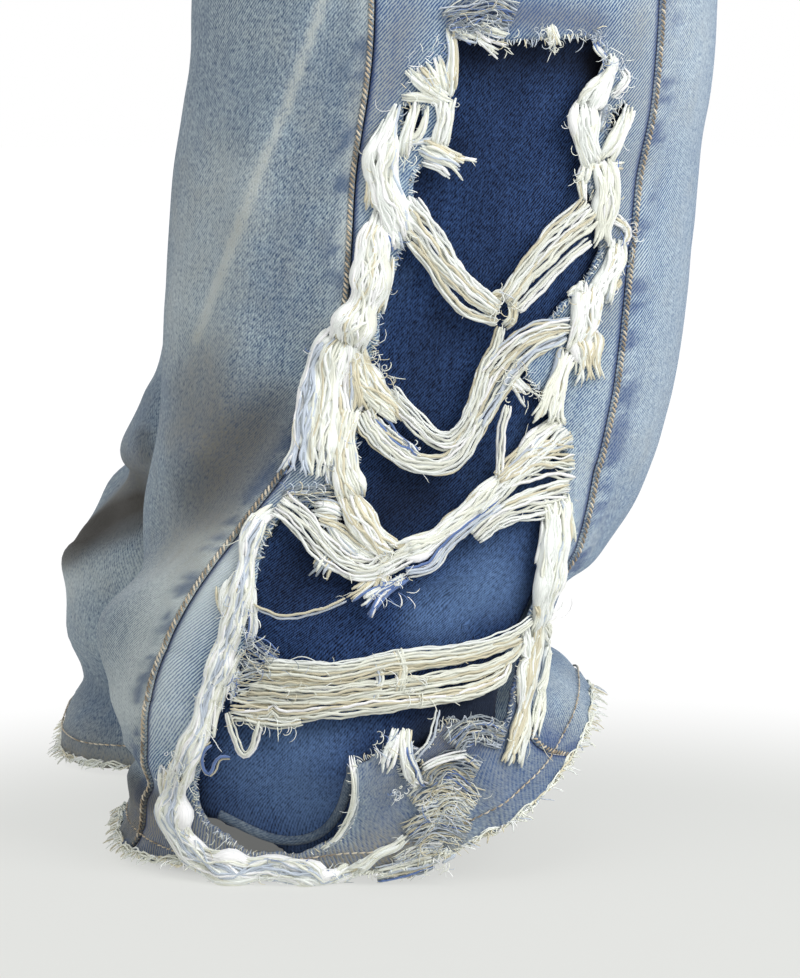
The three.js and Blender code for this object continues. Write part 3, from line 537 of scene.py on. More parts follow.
# Twill: slant and width of its wales, and how they waver
TWILL_ANGLE, TWILL_WIDTH = math.radians(52), 1.13
WAVER_SCALE, WAVER = 0.35, 0.55
# What breaks up the weave: scale of the noise, and its share of the level from valley to wale
SLUB_SCALE, SLUB_SHARE = (1.5, 0.55, 1), 1.5
WARP_SCALE, WARP_SHARE = (0.8, 0.03, 1), 0.6
SPECK_SCALE, SPECK_SHARE = 620, 1.2
# Clouds and mottling of the wash and the dirt, and how much of the valleys they reach
CLOUD_SCALE, MOTTLE_SCALE, MOTTLE_SHARE, SOIL_SHARE, VALLEY_SHARE = 15, 70, 0.6, 0.5, 0.45
# Bump of the slubs over the weave, its strength and its depth in metres
SLUB_BUMP, WEAVE_BUMP, WEAVE_DEPTH = 0.6, 0.55, 0.0005
# Roughness: change from valley to wale or along a fibre, and start
CLOTH_ROUGHNESS, YARN_ROUGHNESS, BRASS_ROUGHNESS = (-0.12, 0.98), (-0.1, 1.0), (0.3, 0.27)
# Near-black brown of painted shade in folds and under overhangs, with some grime
GRIME_AND_SHADE = linear(50, 47, 41)


def denim(name, wale, valley, deep, pale, tan, weave, wash, sheen, shaded=0.0):
    """Twill: slanting wales over darker valleys, with slubs, washed out, worn and dirtied in places, and
    with painted highlights and painted shade.
    """
    n = Nodes(name)
    uv = n.add("ShaderNodeUVMap", uv_map="weave").outputs[0]
    axes = n.add("ShaderNodeSeparateXYZ", uv)
    place = n.add("ShaderNodeTexCoord").outputs["Object"]
    across = n.math("MULTIPLY", axes.outputs[0], math.sin(TWILL_ANGLE) / TWILL_WIDTH)
    phase = n.math("MULTIPLY_ADD", axes.outputs[1], math.cos(TWILL_ANGLE) / TWILL_WIDTH, across)
    phase = n.math("MULTIPLY_ADD", n.noise(uv, WAVER_SCALE), WAVER, phase)
    ridge = n.math("SINE", n.math("MULTIPLY", phase, 2 * math.pi))
    crisp = n.math("MAXIMUM", n.math("SUBTRACT", 1.0, n.value("felt")), 0.0)
    slub = n.noise(n.scaled(uv, SLUB_SCALE), 1.0, 2)
    warp = n.noise(n.scaled(uv, WARP_SCALE), 1.0, 3)
    speck = n.noise(place, SPECK_SCALE, 3)
    level = n.math("MULTIPLY_ADD", n.math("MULTIPLY", ridge, crisp), weave, 0.5)
    level = n.math("MULTIPLY_ADD", n.math("SUBTRACT", slub, 0.5), SLUB_SHARE, level)
    level = n.math("MULTIPLY_ADD", n.math("SUBTRACT", warp, 0.5), WARP_SHARE, level)
    level = n.math("MULTIPLY_ADD", n.math("SUBTRACT", speck, 0.5), SPECK_SHARE, level, clamp=True)
    color = n.blend(level, valley, wale)
    cloud = n.math("SUBTRACT", n.noise(place, CLOUD_SCALE, 4), 0.5)
    mottle = n.math("SUBTRACT", n.noise(place, MOTTLE_SCALE, 3), 0.5)
    # Wear lightens towards pale and darkens towards the valley colour; in places it is painted highlight
    # and painted shade
    fade_and_shading = n.math("MULTIPLY_ADD", cloud, wash, n.value("wear_and_shading"))
    fade_and_shading = n.math("MULTIPLY_ADD", mottle, wash * MOTTLE_SHARE, fade_and_shading)
    on_wales = n.math("ADD", level, VALLEY_SHARE)
    color = n.blend(n.math("MULTIPLY", n.math("MAXIMUM", fade_and_shading, 0), on_wales), color, pale)
    color = n.blend(n.math("MULTIPLY", fade_and_shading, -1, clamp=True), color, valley)
    # Dirt tints towards tan; in places this tint is painted shade
    soiled_and_shaded = n.math("MULTIPLY_ADD", mottle, SOIL_SHARE, n.value("dirt_and_shade"))
    color = n.blend(n.math("MULTIPLY", soiled_and_shaded, on_wales), color, tan)
    # Painted shadow, blotches of dye beside the seams and the painted shade line along them darken towards
    # deep
    color = n.blend(n.math("MULTIPLY_ADD", n.value("shadow"), shaded, n.value("blue")), color, deep)
    # Painted shade, with some grime, darkens towards near-black brown
    color = n.blend(n.value("grime_and_shade"), color, GRIME_AND_SHADE)
    n.bump(n.math("MULTIPLY_ADD", slub, SLUB_BUMP, level), WEAVE_BUMP, WEAVE_DEPTH)
    return n.finish(color, n.math("MULTIPLY_ADD", level, *CLOTH_ROUGHNESS), sheen)


WASHED = denim(
    "washed_denim", wale=linear(184, 204, 216), valley=linear(50, 84, 134), deep=linear(40, 68, 122),
    pale=linear(204, 217, 222), tan=linear(142, 138, 126), weave=0.62, wash=0.6, sheen=0.12)
GREYED = denim(
    "greyed_denim", wale=linear(170, 186, 193), valley=linear(45, 72, 106), deep=linear(46, 74, 112),
    pale=linear(190, 200, 201), tan=linear(124, 119, 106), weave=0.4, wash=0.7, sheen=0.12)
DARK = denim(
    "dark_denim", wale=linear(56, 86, 138), valley=linear(2, 9, 32), deep=linear(4, 9, 24),
    pale=linear(100, 130, 174), tan=linear(56, 70, 94), weave=0.34, wash=0.65, sheen=0.03, shaded=1.0)

FIBRE_SCALE, FIBRE_SHADE, YARN_SHEEN = 2.2, (0.62, 0.66), 0.3


def yarn_material():
    """Cotton yarn: its own tint, streaked by fibres that lie along it."""
    n = Nodes("yarn")
    lie = n.add("ShaderNodeAttribute", attribute_name="lie").outputs["Vector"]
    fibre = n.noise(lie, FIBRE_SCALE, 3)
    tint = n.add("ShaderNodeAttribute", attribute_name="tint").outputs["Color"]
    shade = n.math("MULTIPLY_ADD", fibre, *FIBRE_SHADE, clamp=True)
    color = n.add("ShaderNodeVectorMath", tint, shade, operation="MULTIPLY").outputs[0]
    n.bump(fibre, 0.5, 0.0006)
    return n.finish(color, n.math("MULTIPLY_ADD", fibre, *YARN_ROUGHNESS), YARN_SHEEN)


def brass_material():
    n = Nodes("aged_brass")
    place = n.add("ShaderNodeTexCoord").outputs["Object"]
    mottle = n.noise(place, 260, 4)
    color = n.blend(mottle, linear(120, 92, 52), linear(186, 152, 96))
    n.bump(mottle, 0.25, 0.0003)
    n.shader.inputs["Metallic"].default_value = 1.0
    return n.finish(color, n.math("MULTIPLY_ADD", mottle, *BRASS_ROUGHNESS), 0.0)


YARN = yarn_material()

# Paint on each leg's visible side: what it is, line in the picture, reach in millimetres, strength
# Some wear, dirt and grime rows are painted highlights and painted shade, marked below
RIGHT_PAINT = [
    ("wear_and_shading", [(330, -20), (289, 100), (262, 165), (226, 260), (196, 340)], 1.7, 1.1),
    ("dirt_and_shade", [(330, -20), (289, 100), (262, 165), (226, 260), (196, 340)], 2.2, 0.25),
    ("wear_and_shading", [(662, 0), (632, 250), (600, 430), (566, 560)], 9, 0.25),
    ("wear_and_shading", [(366, 0), (345, 300), (300, 410), (224, 536), (121, 715)], 7, 0.3),
    ("wear_and_shading", [(712, 10), (700, 150), (688, 300), (650, 440)], 16, 0.35),
    ("wear_and_shading", [(226, 190), (214, 250), (204, 320)], 22, 0.5),
    ("wear_and_shading", [(162, 220), (158, 350)], 9, 0.4),
    ("wear_and_shading", [(190, 20), (186, 90)], 7, -0.25),
    ("wear_and_shading", [(395, 10), (385, 110)], 12, -0.25),
    ("wear_and_shading", [(470, 10), (540, 14), (592, 24)], 9, -0.8),
    # Painted highlights on the lit roll of the fold
    ("wear_and_shading", [(222, 540), (160, 600), (128, 690)], 17, 0.75),
    ("wear_and_shading", [(216, 560), (170, 640), (160, 720)], 15, 0.5),
    ("wear_and_shading", [(206, 558), (182, 594)], 12, 0.7),
    ("wear_and_shading", [(150, 440), (165, 500)], 10, 0.3),
    # Painted shade in the fold above the roll
    ("wear_and_shading", [(244, 430), (208, 500)], 22, -0.45),
    ("wear_and_shading", [(306, 480), (250, 512), (216, 590)], 9, 0.5),
    # Painted shade where the bands shade the cloth
    ("wear_and_shading", [(440, 738), (480, 704), (512, 672)], 14, -0.8),
    ("wear_and_shading", [(480, 750), (520, 800), (580, 765)], 24, -0.6),
    ("dirt_and_shade", [(500, 790), (560, 740)], 18, 0.25),
    ("wear_and_shading", [(566, 680), (588, 730)], 9, 0.55),
    ("wear_and_shading", [(384, 765), (388, 840)], 17, -0.45),
    ("wear_and_shading", [(500, 90), (490, 250), (440, 360), (400, 500), (300, 590)], 24, -0.35),
    ("wear_and_shading", [(490, 580), (430, 612)], 16, 0.7),
    ("shadow", [(470, 50), (540, 52), (604, 60)], 11, 0.75),
    ("shadow", [(606, 60), (588, 120), (590, 180)], 8, 0.6),
    ("shadow", [(420, 180), (452, 150)], 8, 0.4),
    ("shadow", [(400, 480), (480, 470)], 16, 0.35),
    ("shadow", [(425, 330), (418, 420)], 13, 0.3),
    ("shadow", [(420, 505), (340, 540), (285, 575)], 13, 0.4),
    ("wear_and_shading", [(250, 760), (310, 800)], 18, 0.5),
    # Painted light on the underlay where the bands shade it
    ("wear_and_shading", [(300, 738), (370, 732)], 12, 0.5),
    ("dirt_and_shade", [(330, 60), (270, 260), (200, 430)], 24, 0.12),
    ("wear_and_shading", [(330, 60), (290, 200), (270, 300)], 13, -0.3),
    ("dirt_and_shade", [(405, 20), (368, 160)], 12, 0.4),
    ("dirt_and_shade", [(470, 10), (540, 14), (592, 24)], 8, 0.3),
    ("dirt_and_shade", [(250, 430), (190, 540)], 18, 0.5),
    ("dirt_and_shade", [(200, 370), (184, 430)], 14, 0.35),
    # Painted shade, with some grime, in the fold above the roll
    ("grime_and_shade", [(276, 425), (236, 470), (214, 500)], 17, 0.34),
    # Painted shadow under the roll's overhang
    ("grime_and_shade", [(120, 772), (140, 794), (164, 806)], 5, 0.55),
    ("dirt_and_shade", [(110, 800), (300, 868), (480, 860)], 12, 0.5),
    ("dirt_and_shade", [(384, 765), (388, 840)], 16, 0.3),
    # The back hem's corner: dirt, and painted shade
    ("dirt_and_shade", [(112, 822), (152, 832)], 13, 0.25),
    ("wear_and_shading", [(112, 822), (152, 832)], 14, -0.6),
    # Painted shade behind the bands, as a brown tint
    ("dirt_and_shade", [(440, 738), (500, 690)], 12, 0.4),
    ("dirt_and_shade", [(640, 20), (600, 330)], 12, 0.25),
    ("felt", [(380, 800), (450, 830), (560, 770)], 30, 0.7),
    ("felt", [(300, 40), (250, 240), (200, 480)], 26, 0.5),
    ("felt", [(170, 640), (200, 640)], 24, -0.6),
    ("felt", [(640, 60), (630, 300)], 14, -0.5),
]
LEFT_PAINT = [
    # The fold's dark upper facet: painted shade with some grime, and a painted highlight on the lit bulge
    # below it
    ("grime_and_shade", [(56, 550), (95, 529), (140, 511)], 9, 0.8),
    ("wear_and_shading", [(62, 584), (100, 574), (140, 566)], 8, 0.45),
    ("grime_and_shade", [(78, 526), (105, 506), (138, 490)], 8, 0.4),
    # Painted shade in the notch above the fold
    ("grime_and_shade", [(144, 436), (148, 455)], 4, 0.4),
    # More painted shade, with brown dirt, on the dark facet
    ("dirt_and_shade", [(62, 540), (95, 510), (138, 476)], 14, 0.6),
    # Painted highlight on the lit bulge
    ("wear_and_shading", [(72, 590), (100, 640)], 17, 0.25),
    ("wear_and_shading", [(142, 400), (138, 460)], 8, -0.3),
    ("dirt_and_shade", [(40, 760), (130, 780)], 13, 0.6),
    ("wear_and_shading", [(90, 690), (110, 720)], 9, -0.4),
]

# The visible side of each leg: x where its paint starts and where it is full
RIGHT_FACE, LEFT_FACE = (-110, -150), (-128, -88)
# Uneven wear, dirt and felting all over: strength, size, seed
WEAR_PATCHES, DIRT_PATCHES, FELT_PATCHES = (0.12, 90, 21), (0.08, 60, 22), (0.35, 55, 23)
RIGHT_FELT, LEFT_FELT = 0.1, 0.55
HEM_DIRT, HEM_DIRT_HEIGHT = 0.32, 16.0


def painted(points, mirror=1):
    """Wear, dirt, blue, felting, grime and shadow at points, from noise and from the painted lines; in
    places wear is painted highlight and shade, and dirt and grime are painted shade.
    """
    def patches(strength, size, seed):
        return strength * noise(points, size, seed)

    right = mirror == 1
    lines = RIGHT_PAINT if right else LEFT_PAINT
    facing = smooth(points[..., 0], *(RIGHT_FACE if right else LEFT_FACE))
    spot = seen(points * (mirror, 1, 1))
    h = points[..., 2] + WAIST_HEIGHT
    values = {
        "wear_and_shading": patches(*WEAR_PATCHES),
        "dirt_and_shade": patches(*DIRT_PATCHES) + HEM_DIRT * np.exp(-h / HEM_DIRT_HEIGHT),
        "blue": np.zeros(h.shape),
        "felt": (RIGHT_FELT if right else LEFT_FELT) + patches(*FELT_PATCHES),
        "grime_and_shade": np.zeros(h.shape),
        "shadow": np.zeros(h.shape),
    }
    for key, line, reach, strength in lines:
        distance, _, _ = line_distance(line, spot[..., 0], spot[..., 1])
        power = 4 if key == "grime_and_shade" else 2
        values[key] = values[key] + strength * facing * np.exp(-(distance / reach) ** power)
    return values


def inside_distance(outline, y, h):
    """Distance into an outline of the side view, negative outside it."""
    distance, _, _ = line_distance(outline + outline[:1], y, h)
    line = side_view(outline)
    inside = np.zeros(np.shape(y), bool)
    for (y0, h0), (y1, h1) in zip(line, np.roll(line, -1, 0)):
        if h0 != h1:
            inside ^= ((h0 > h) != (h1 > h)) & (y < (y1 - y0) * (h - h0) / (h1 - h0) + y0)
    return np.where(inside, distance, -distance)


def rip_depth(y, h):
    """Distance into the rips, negative outside all of them."""
    return np.max([inside_distance(outline, y, h) for outline in RIPS], axis=0)


# The panels: seams and hems in millimetres
FELL_WIDTH, FELL_RISE, FELL_PUCKER = 10.0, 1.0, 0.35
CUFF_WIDTH, CUFF_RISE, CUFF_PUCKER = 14.0, 0.9, 0.5
TUCK_DEPTH, TUCK_REACH = 0.5, 3.0
SEAM_MARGIN, SEAM_RADIUS = 0.15, 60.0
# Marks beside a felled seam: place and reach from its edge, and the reach of the painted shade line under
# it
BLOTCH_PLACE, BLOTCH_REACH, RIDGE_PLACE, RIDGE_REACH, SEAM_SHADE = 5.5, 6.5, 2.0, 2.5, 1.5
# A torn edge: height, size and seed of its wavering, and how far cells are drawn up to it
TEAR_WAVER = [(1.0, 7, 41), (0.7, 2.6, 42)]
RIM_REACH, RIM_SHIFT = 4.0, 0.6


def panel_grid(leg, panel, shares, rows, ring_of=None):
    """Angles and rings of a panel's grid."""
    share, row = np.meshgrid(shares, rows)
    t = row if ring_of is None else ring_of(share, row)
    low, high = leg.edges(panel, t)
    margin = SEAM_MARGIN / SEAM_RADIUS
    return mix(low + margin, high - margin, share), t


def cloth_piece(name, node, material, grids, uv, values, kept=None, mirror=1):
    """A closed wall of cloth between two grids, in place of a node."""
    verts, faces, source = shell(*grids, kept)
    values = {key: np.broadcast_to(value, uv.shape[:2]).ravel()[source] for key, value in values.items()}
    obj = mesh_object(name, verts, faces, material, uv.reshape(-1, 2)[source], values, mirror=mirror)
    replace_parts(obj, node)


def cloth(name, node, slot, material, leg, angle, t, out=0.0, thickness=CLOTH, relief=None, keep=None):
    """A piece of cloth on a leg's surface."""
    points = leg.surface(angle, t)
    across, down = arc(points, 1), arc(points, 0)
    slope = grid_slope(points)
    lift = np.full(across.shape, float(out))
    if relief is not None:
        lift = lift + relief(across, down)
    outer = points + slope * lift[..., None]
    inner = points + slope * (lift - thickness)[..., None]
    for grid in (outer, inner):
        grid[..., 2] = np.maximum(grid[..., 2], HEM_CLEARANCE - WAIST_HEIGHT)
    kept = None
    if keep is not None:
        outer, inner, kept = keep(outer, inner)
    values = painted(outer, leg.mirror)
    for key, extra in rope_marks(name, across, down).items():
        values[key] = values[key] + extra
    uv = np.stack([across, -down], -1)
    cloth_piece(name, node, material, (outer, inner), uv, values, kept, leg.mirror)


def rope_marks(name, across, down):
    """Dark blotches and pale ridges beside the felled seams, and a painted shade line along the side
    panel's edges under them.
    """
    far = across[:, -1:] - across
    # Painted shade: a dark line where the side panel's edges go under the felled seams
    if "side" in name:
        return {"blue": np.exp(-(np.minimum(across, far) / SEAM_SHADE) ** 2)}
    if "back" in name:
        edge = across
    elif "front" in name:
        edge = far
    else:
        return {}
    spot = np.stack([edge * 0.6, down, np.zeros_like(edge)], -1)
    blotch = np.exp(-((edge - BLOTCH_PLACE) / BLOTCH_REACH) ** 2)
    ridge = np.exp(-((edge - RIDGE_PLACE) / RIDGE_REACH) ** 2)
    return {
        "blue": 0.7 * blotch * smooth(noise(spot, 11, 31) + 0.8 * noise(spot, 3.5, 33), -0.15, 0.6),
        "wear_and_shading": 0.5 * ridge * smooth(noise(spot, 8, 32), -0.4, 0.5),
    }


def felled(across, down):
    """A seam allowance folded under: a raised band along both edges, puckered along its length."""
    lift = 0
    for edge in (across, across[:, -1:] - across):
        pucker = 1 + FELL_PUCKER * np.sin(down / 4.2 + edge * 0.5) * np.exp(-edge / 9)
        raised = smooth(edge, FELL_WIDTH + 2, FELL_WIDTH - 1) * smooth(edge, -0.4, 1.2)
        lift = lift + FELL_RISE * pucker * raised
    return lift + cuff(across, down)


def cuff(across, down):
    """The hem turned up once, with its fold's puckers."""
    edge = down[-1:] - down
    pucker = 1 + CUFF_PUCKER * np.sin(across / 3.4 + edge * 0.3)
    return CUFF_RISE * smooth(edge, CUFF_WIDTH + 1.5, CUFF_WIDTH - 0.5) * pucker


def tucked(across, down):
    """The side panel dips where its edges go under the felled seams."""
    edge = np.minimum(across, across[:, -1:] - across)
    return cuff(across, down) - TUCK_DEPTH * np.exp(-edge / TUCK_REACH)


def touching(cells):
    """The grid points that touch any of the marked cells."""
    near = np.pad(cells, 1)
    return near[:-1, :-1] | near[1:, :-1] | near[:-1, 1:] | near[1:, 1:]


def torn_along(depth_of):
    """Leaves out the cells inside an outline and draws the rest up to a torn edge."""
    def keep(outer, inner):
        spot = seen(outer)
        depth = depth_of(spot[..., 0], spot[..., 1])
        for height, size, seed in TEAR_WAVER:
            depth = depth + height * noise(outer, size, seed)
        middle = (depth[:-1, :-1] + depth[1:, :-1] + depth[:-1, 1:] + depth[1:, 1:]) / 4
        kept = middle < 0
        rim = touching(kept) & touching(~kept) & (np.abs(depth) < RIM_REACH)
        down, across = np.gradient(depth)
        steep = np.maximum(down ** 2 + across ** 2, 1e-3)
        shift = np.where(rim, -depth, 0) / steep
        shift_down = np.clip(shift * down, -RIM_SHIFT, RIM_SHIFT)[..., None]
        shift_across = np.clip(shift * across, -RIM_SHIFT, RIM_SHIFT)[..., None]
        for grid in (outer, inner):
            grid += np.gradient(grid, axis=0) * shift_down + np.gradient(grid, axis=1) * shift_across
        return outer, inner, kept
    return keep


def rows_between(*stretches):
    """Rings with a count of rows for each stretch from one ring to the next."""
    rows = [np.linspace(start, end, count, endpoint=False) for start, end, count in stretches]
    return np.append(np.concatenate(rows), stretches[-1][1])


KNEE = 5.5
ROWS = {
    RIGHT: rows_between((0, KNEE, 60), (KNEE, HEM, 150)),
    LEFT: rows_between((0, KNEE, 48), (KNEE, HEM, 100)),
}
FRONT_SHARES = np.linspace(0, 1, 58)
BACK_SHARES = np.append(np.linspace(0, 0.35, 36, endpoint=False), np.linspace(0.35, 1, 36))
YOKE_SHARES = np.linspace(0, 1, 16)
YOKE_GAP = 0.0045
MOUTH_WIDTH, MOUTH_DEPTH, MOUTH_POWER = 0.62, 1.05, 2.5


def yoke_edge(share):
    return mix(YOKE_SIDE, YOKE_MIDDLE, share)


def below_yoke(share, row):
    top = yoke_edge(share) + YOKE_GAP
    return np.where(row >= CROTCH, row, top + row * (CROTCH - top) / CROTCH)


def above_yoke(share, row):
    return row * (yoke_edge(share) - YOKE_GAP)


def scooped(leg):
    """Leaves out the front pocket's mouth: the cells above a curve in the panel's upper outer corner."""
    def keep(outer, inner):
        share, row = np.meshgrid(FRONT_SHARES, ROWS[leg])
        mouth = ((1 - share) / MOUTH_WIDTH) ** MOUTH_POWER + (row / MOUTH_DEPTH) ** MOUTH_POWER < 1
        middle = mouth[:-1, :-1] & mouth[1:, 1:]
        return outer, inner, ~middle
    return keep


# Columns, rows and torn edge of each side panel
SIDES = {
    RIGHT: (np.linspace(0, 1, 100), rows_between((0, KNEE, 48), (KNEE, HEM, 270)), torn_along(rip_depth)),
    LEFT: (np.linspace(0, 1, 44), ROWS[LEFT], None),
}
for leg, side in LEGS:
    rows = ROWS[leg]
    cloth(f"cloth_front_{side}", f"front_{side}", "washed_denim", WASHED, leg,
          *panel_grid(leg, "front", FRONT_SHARES, rows), relief=felled, keep=scooped(leg))
    side_shares, side_rows, torn = SIDES[leg]
    cloth(f"cloth_side_{side}", f"side_{side}", "washed_denim", WASHED, leg,
          *panel_grid(leg, "side", side_shares, side_rows), relief=tucked, keep=torn)
    cloth(f"cloth_back_{side}", f"back_{side}", "greyed_denim", GREYED, leg,
          *panel_grid(leg, "back", BACK_SHARES, rows, below_yoke), relief=felled)
    cloth(f"cloth_yoke_{side}", f"yoke_{side}", "greyed_denim", GREYED, leg,
          *panel_grid(leg, "back", BACK_SHARES, YOKE_SHARES, above_yoke), relief=felled)

# The underlay behind the rip, and the hollow of the leg that shows under its hem
UNDERLAY_SHARES = mix(0.06, 0.92, np.linspace(0, 1, 72))
UNDERLAY_ROWS = np.linspace(5.75, HEM - 0.35, 164)
HOLLOW = [(204, 814), (238, 827), (272, 842), (288, 854), (262, 864), (226, 858), (204, 840)]
cloth("cloth_underlay", "rip_underlay", "dark_denim", DARK, RIGHT,
      *panel_grid(RIGHT, "side", UNDERLAY_SHARES, UNDERLAY_ROWS), -UNDERLAY_DEPTH, UNDERLAY_CLOTH,
      keep=torn_along(lambda y, h: inside_distance(HOLLOW, y, h)))

# Yarn: lines over the right leg's outer side, and the tubes that run along them
# Tints: white, cream, tan, pale blue, grey and blue
TINTS = np.array([
    linear(249, 253, 248), linear(239, 241, 228), linear(221, 214, 187),
    linear(204, 214, 226), linear(156, 166, 174), linear(100, 128, 184),
])[:, :3]
# Shares of the tints in each mix
MIXES = {
    "pale": (0.6, 0.3, 0.07, 0.03, 0.0, 0.0),
    "warm": (0.36, 0.42, 0.18, 0.04, 0.0, 0.0),
    "tan": (0.2, 0.42, 0.34, 0.04, 0.0, 0.0),
    "blue": (0.5, 0.12, 0.02, 0.2, 0.02, 0.14),
    "grey": (0.2, 0.28, 0.14, 0.2, 0.16, 0.02),
    "slate": (0.02, 0.06, 0.14, 0.16, 0.5, 0.12),
    "worn": (0.08, 0.26, 0.3, 0.14, 0.2, 0.02),
    "ash": (0.06, 0.12, 0.14, 0.22, 0.4, 0.06),
}
MAIN_SHARE, TINT_SPREAD = 0.4, (0.93, 1.08)
# Sizes in millimetres, and how fibres stretch along a yarn and differ from yarn to yarn
YARN_RADIUS, YARN_STEP, PATH_SPACING, FLOOR_GAP = 0.5, 2.4, 2.0, 0.9
FIBRE_STRETCH, FIBRE_JUMP = 0.1, 5.3


def resampled(line, spacing):
    """Even points on a smooth curve through a line's points."""
    line = np.asarray(line, float)
    curve = ring_at(line, np.linspace(0, len(line) - 1, 30 * len(line)))
    length = travel(curve)
    even = np.linspace(0, length[-1], max(3, int(length[-1] / spacing) + 1))
    return read_along(even, length, curve)


class Path:
    """A line laid on the right leg, with its directions along, across and out."""

    def __init__(self, points, out):
        self.points = points
        self.out = out
        self.along = unit(np.gradient(points, axis=0))
        self.across = unit(np.cross(out, self.along))
        self.s = travel(points)
        self.length = self.s[-1]

    def at(self, s, field):
        """Points, or one of the directions, at lengths along the line."""
        return read_along(s, self.s, getattr(self, field))

    def offset(self, s, across, out):
        """Points beside the line and out from it."""
        return (self.at(s, "points") + self.at(s, "across") * np.asarray(across)[..., None]
                + self.at(s, "out") * np.asarray(out)[..., None])


def paths(lines):
    """The paths of several lines of the picture."""
    dense = [resampled(line, PATH_SPACING / MM_PER_PIXEL) for line in lines]
    angle, t = RIGHT.place(np.concatenate(dense))
    ends = np.cumsum([len(line) for line in dense])[:-1]
    points = np.split(RIGHT.surface(angle, t), ends)
    return [Path(*pair) for pair in zip(points, np.split(RIGHT.slope(RIGHT.surface, angle, t), ends))]


class Yarns:
    """Gathers yarns as thin tubes and joins them in one mesh."""

    def __init__(self):
        self.points, self.tubes, self.caps, self.tints, self.lies = [], [], {}, [], []
        self.count = 0

    def add(self, lines, radius, tints, sides=4, tip=0.5):
        """Tubes along lines of shape (yarns, points, 3), with one radius a yarn or one a point."""
        lines = np.array(lines, float)
        yarns, steps = lines.shape[:2]
        low = FLOOR_GAP - WAIST_HEIGHT
        z = lines[..., 2]
        lines[..., 2] = np.where(z < low + 1, low + np.exp(z - low - 1), z)
        along = unit(np.gradient(lines, axis=1))
        axis = np.eye(3)[np.argmin(np.abs(along).mean(1), -1)][:, None, :]
        u = unit(np.cross(along, axis))
        v = np.cross(along, u)
        turn = np.arange(sides) / sides * 2 * math.pi
        radius = np.asarray(radius, float)
        if radius.ndim < 2:
            radius = radius.reshape(-1, 1)
        radius = np.broadcast_to(radius, (yarns, steps)).copy()
        radius[:, [0, -1]] *= tip
        ring = np.cos(turn)[:, None] * u[:, :, None] + np.sin(turn)[:, None] * v[:, :, None]
        self.points.append((lines[:, :, None] + ring * radius[:, :, None, None]).reshape(-1, 3))
        run = np.cumsum(np.linalg.norm(np.diff(lines, axis=1, prepend=lines[:, :1]), axis=-1), 1)
        lie = np.zeros((yarns, steps, sides, 3))
        lie[..., 0] = radius[..., None] * np.cos(turn) + FIBRE_JUMP * np.arange(yarns)[:, None, None]
        lie[..., 1] = radius[..., None] * np.sin(turn)
        lie[..., 2] = FIBRE_STRETCH * run[..., None]
        self.lies.append(lie.reshape(-1, 3))
        index = self.count + np.arange(yarns * steps * sides).reshape(yarns, steps, sides)
        a, b = index[:, :-1], index[:, 1:]
        self.tubes.append(np.stack([a, np.roll(a, -1, 2), np.roll(b, -1, 2), b], -1).reshape(-1, 4))
        self.caps.setdefault(sides, []).extend([index[:, 0, ::-1], index[:, -1]])
        self.tints.append(np.repeat(tints, steps * sides, axis=0))
        self.count += yarns * steps * sides

    def build(self, name, mirror=1):
        faces = self.tubes + [cap for caps in self.caps.values() for cap in caps]
        colors = {"tint": np.concatenate(self.tints), "lie": np.concatenate(self.lies)}
        obj = mesh_object(name, np.concatenate(self.points), faces, YARN, colors=colors, mirror=mirror)
        return obj


def tints(count, mix_name, main=None):
    """Tints for yarns, drawn from a mix; two in five take the main tint where one is given."""
    picked = rng.choice(len(TINTS), count, p=MIXES[mix_name])
    if main is not None:
        picked = np.where(rng.uniform(0, 1, count) < MAIN_SHARE, main, picked)
    return np.clip(TINTS[picked] * rng.uniform(*TINT_SPREAD, (count, 1)), 0, 1)


def sway(s, lengths):
    """A smooth random wave for each yarn, from about -1 to 1."""
    total = 0
    for length in lengths:
        rate = 2 * math.pi / (length * rng.uniform(0.7, 1.4, (len(s), 1)))
        total = total + np.sin(s * rate + rng.uniform(0, 2 * math.pi, (len(s), 1)))
    return total / len(lengths)


def half_width(width, share):
    """Half a width in millimetres, from widths in pixels at even steps along a line."""
    return np.interp(share, np.linspace(0, 1, len(width)), width) * MM_PER_PIXEL / 2


BAND_SHADE, BAND_YARN, BAND_STEP = 0.9, 1.2 * YARN_RADIUS, 0.75 * YARN_STEP


def band(yarns, path, width, count, mix_name, lift=2.0, wander=0.2, radius=BAND_YARN):
    """Yarns side by side in a flat band of two layers that crosses the rip."""
    steps = max(6, int(path.length / BAND_STEP))
    start, end = rng.uniform(0, 0.1, (2, count, 1)) ** 2 * path.length
    s = mix(start, path.length - end, np.linspace(0, 1, steps))
    half = half_width(width, s / path.length)
    lane = np.linspace(-1, 1, count)[:, None] + rng.uniform(-0.1, 0.1, (count, 1))
    across = half * (lane + wander * sway(s, (48, 20))) + 0.25 * sway(s, (9, 6))
    layer = (np.arange(count) % 2)[:, None] * 1.5 * radius
    out = lift + layer + 0.5 * sway(s, (44, 17)) + 0.35 * half ** 0.5 * np.cos(lane * 1.5)
    size = radius * rng.uniform(0.75, 1.25, count)
    yarns.add(path.offset(s, across, out), size, BAND_SHADE * tints(count, mix_name))


ROPE_LAYERS, ROPE_RISE, ROPE_YARN = 1.7, 0.8, 1.2 * YARN_RADIUS
# Lumps along a rope: share of its width, and length in millimetres
ROPE_LUMPS = [(0.16, 5.5), (0.1, 2.9)]
# A held end lies low over its last millimetres, and a free end frays
END_HEIGHT, END_LENGTH, FRAY_LENGTH, FRAY_SPREAD = 0.4, 10.0, 12.0, 1.2
# Share of loose yarns, and how far loose yarns and the others sway across the rope
LOOSE_SHARE, LOOSE_SWAY, HELD_SWAY = 0.14, 0.8, 0.38
CORE_LANES, CORE_RADIUS = np.array([-0.55, 0.0, 0.55])[:, None], 0.43


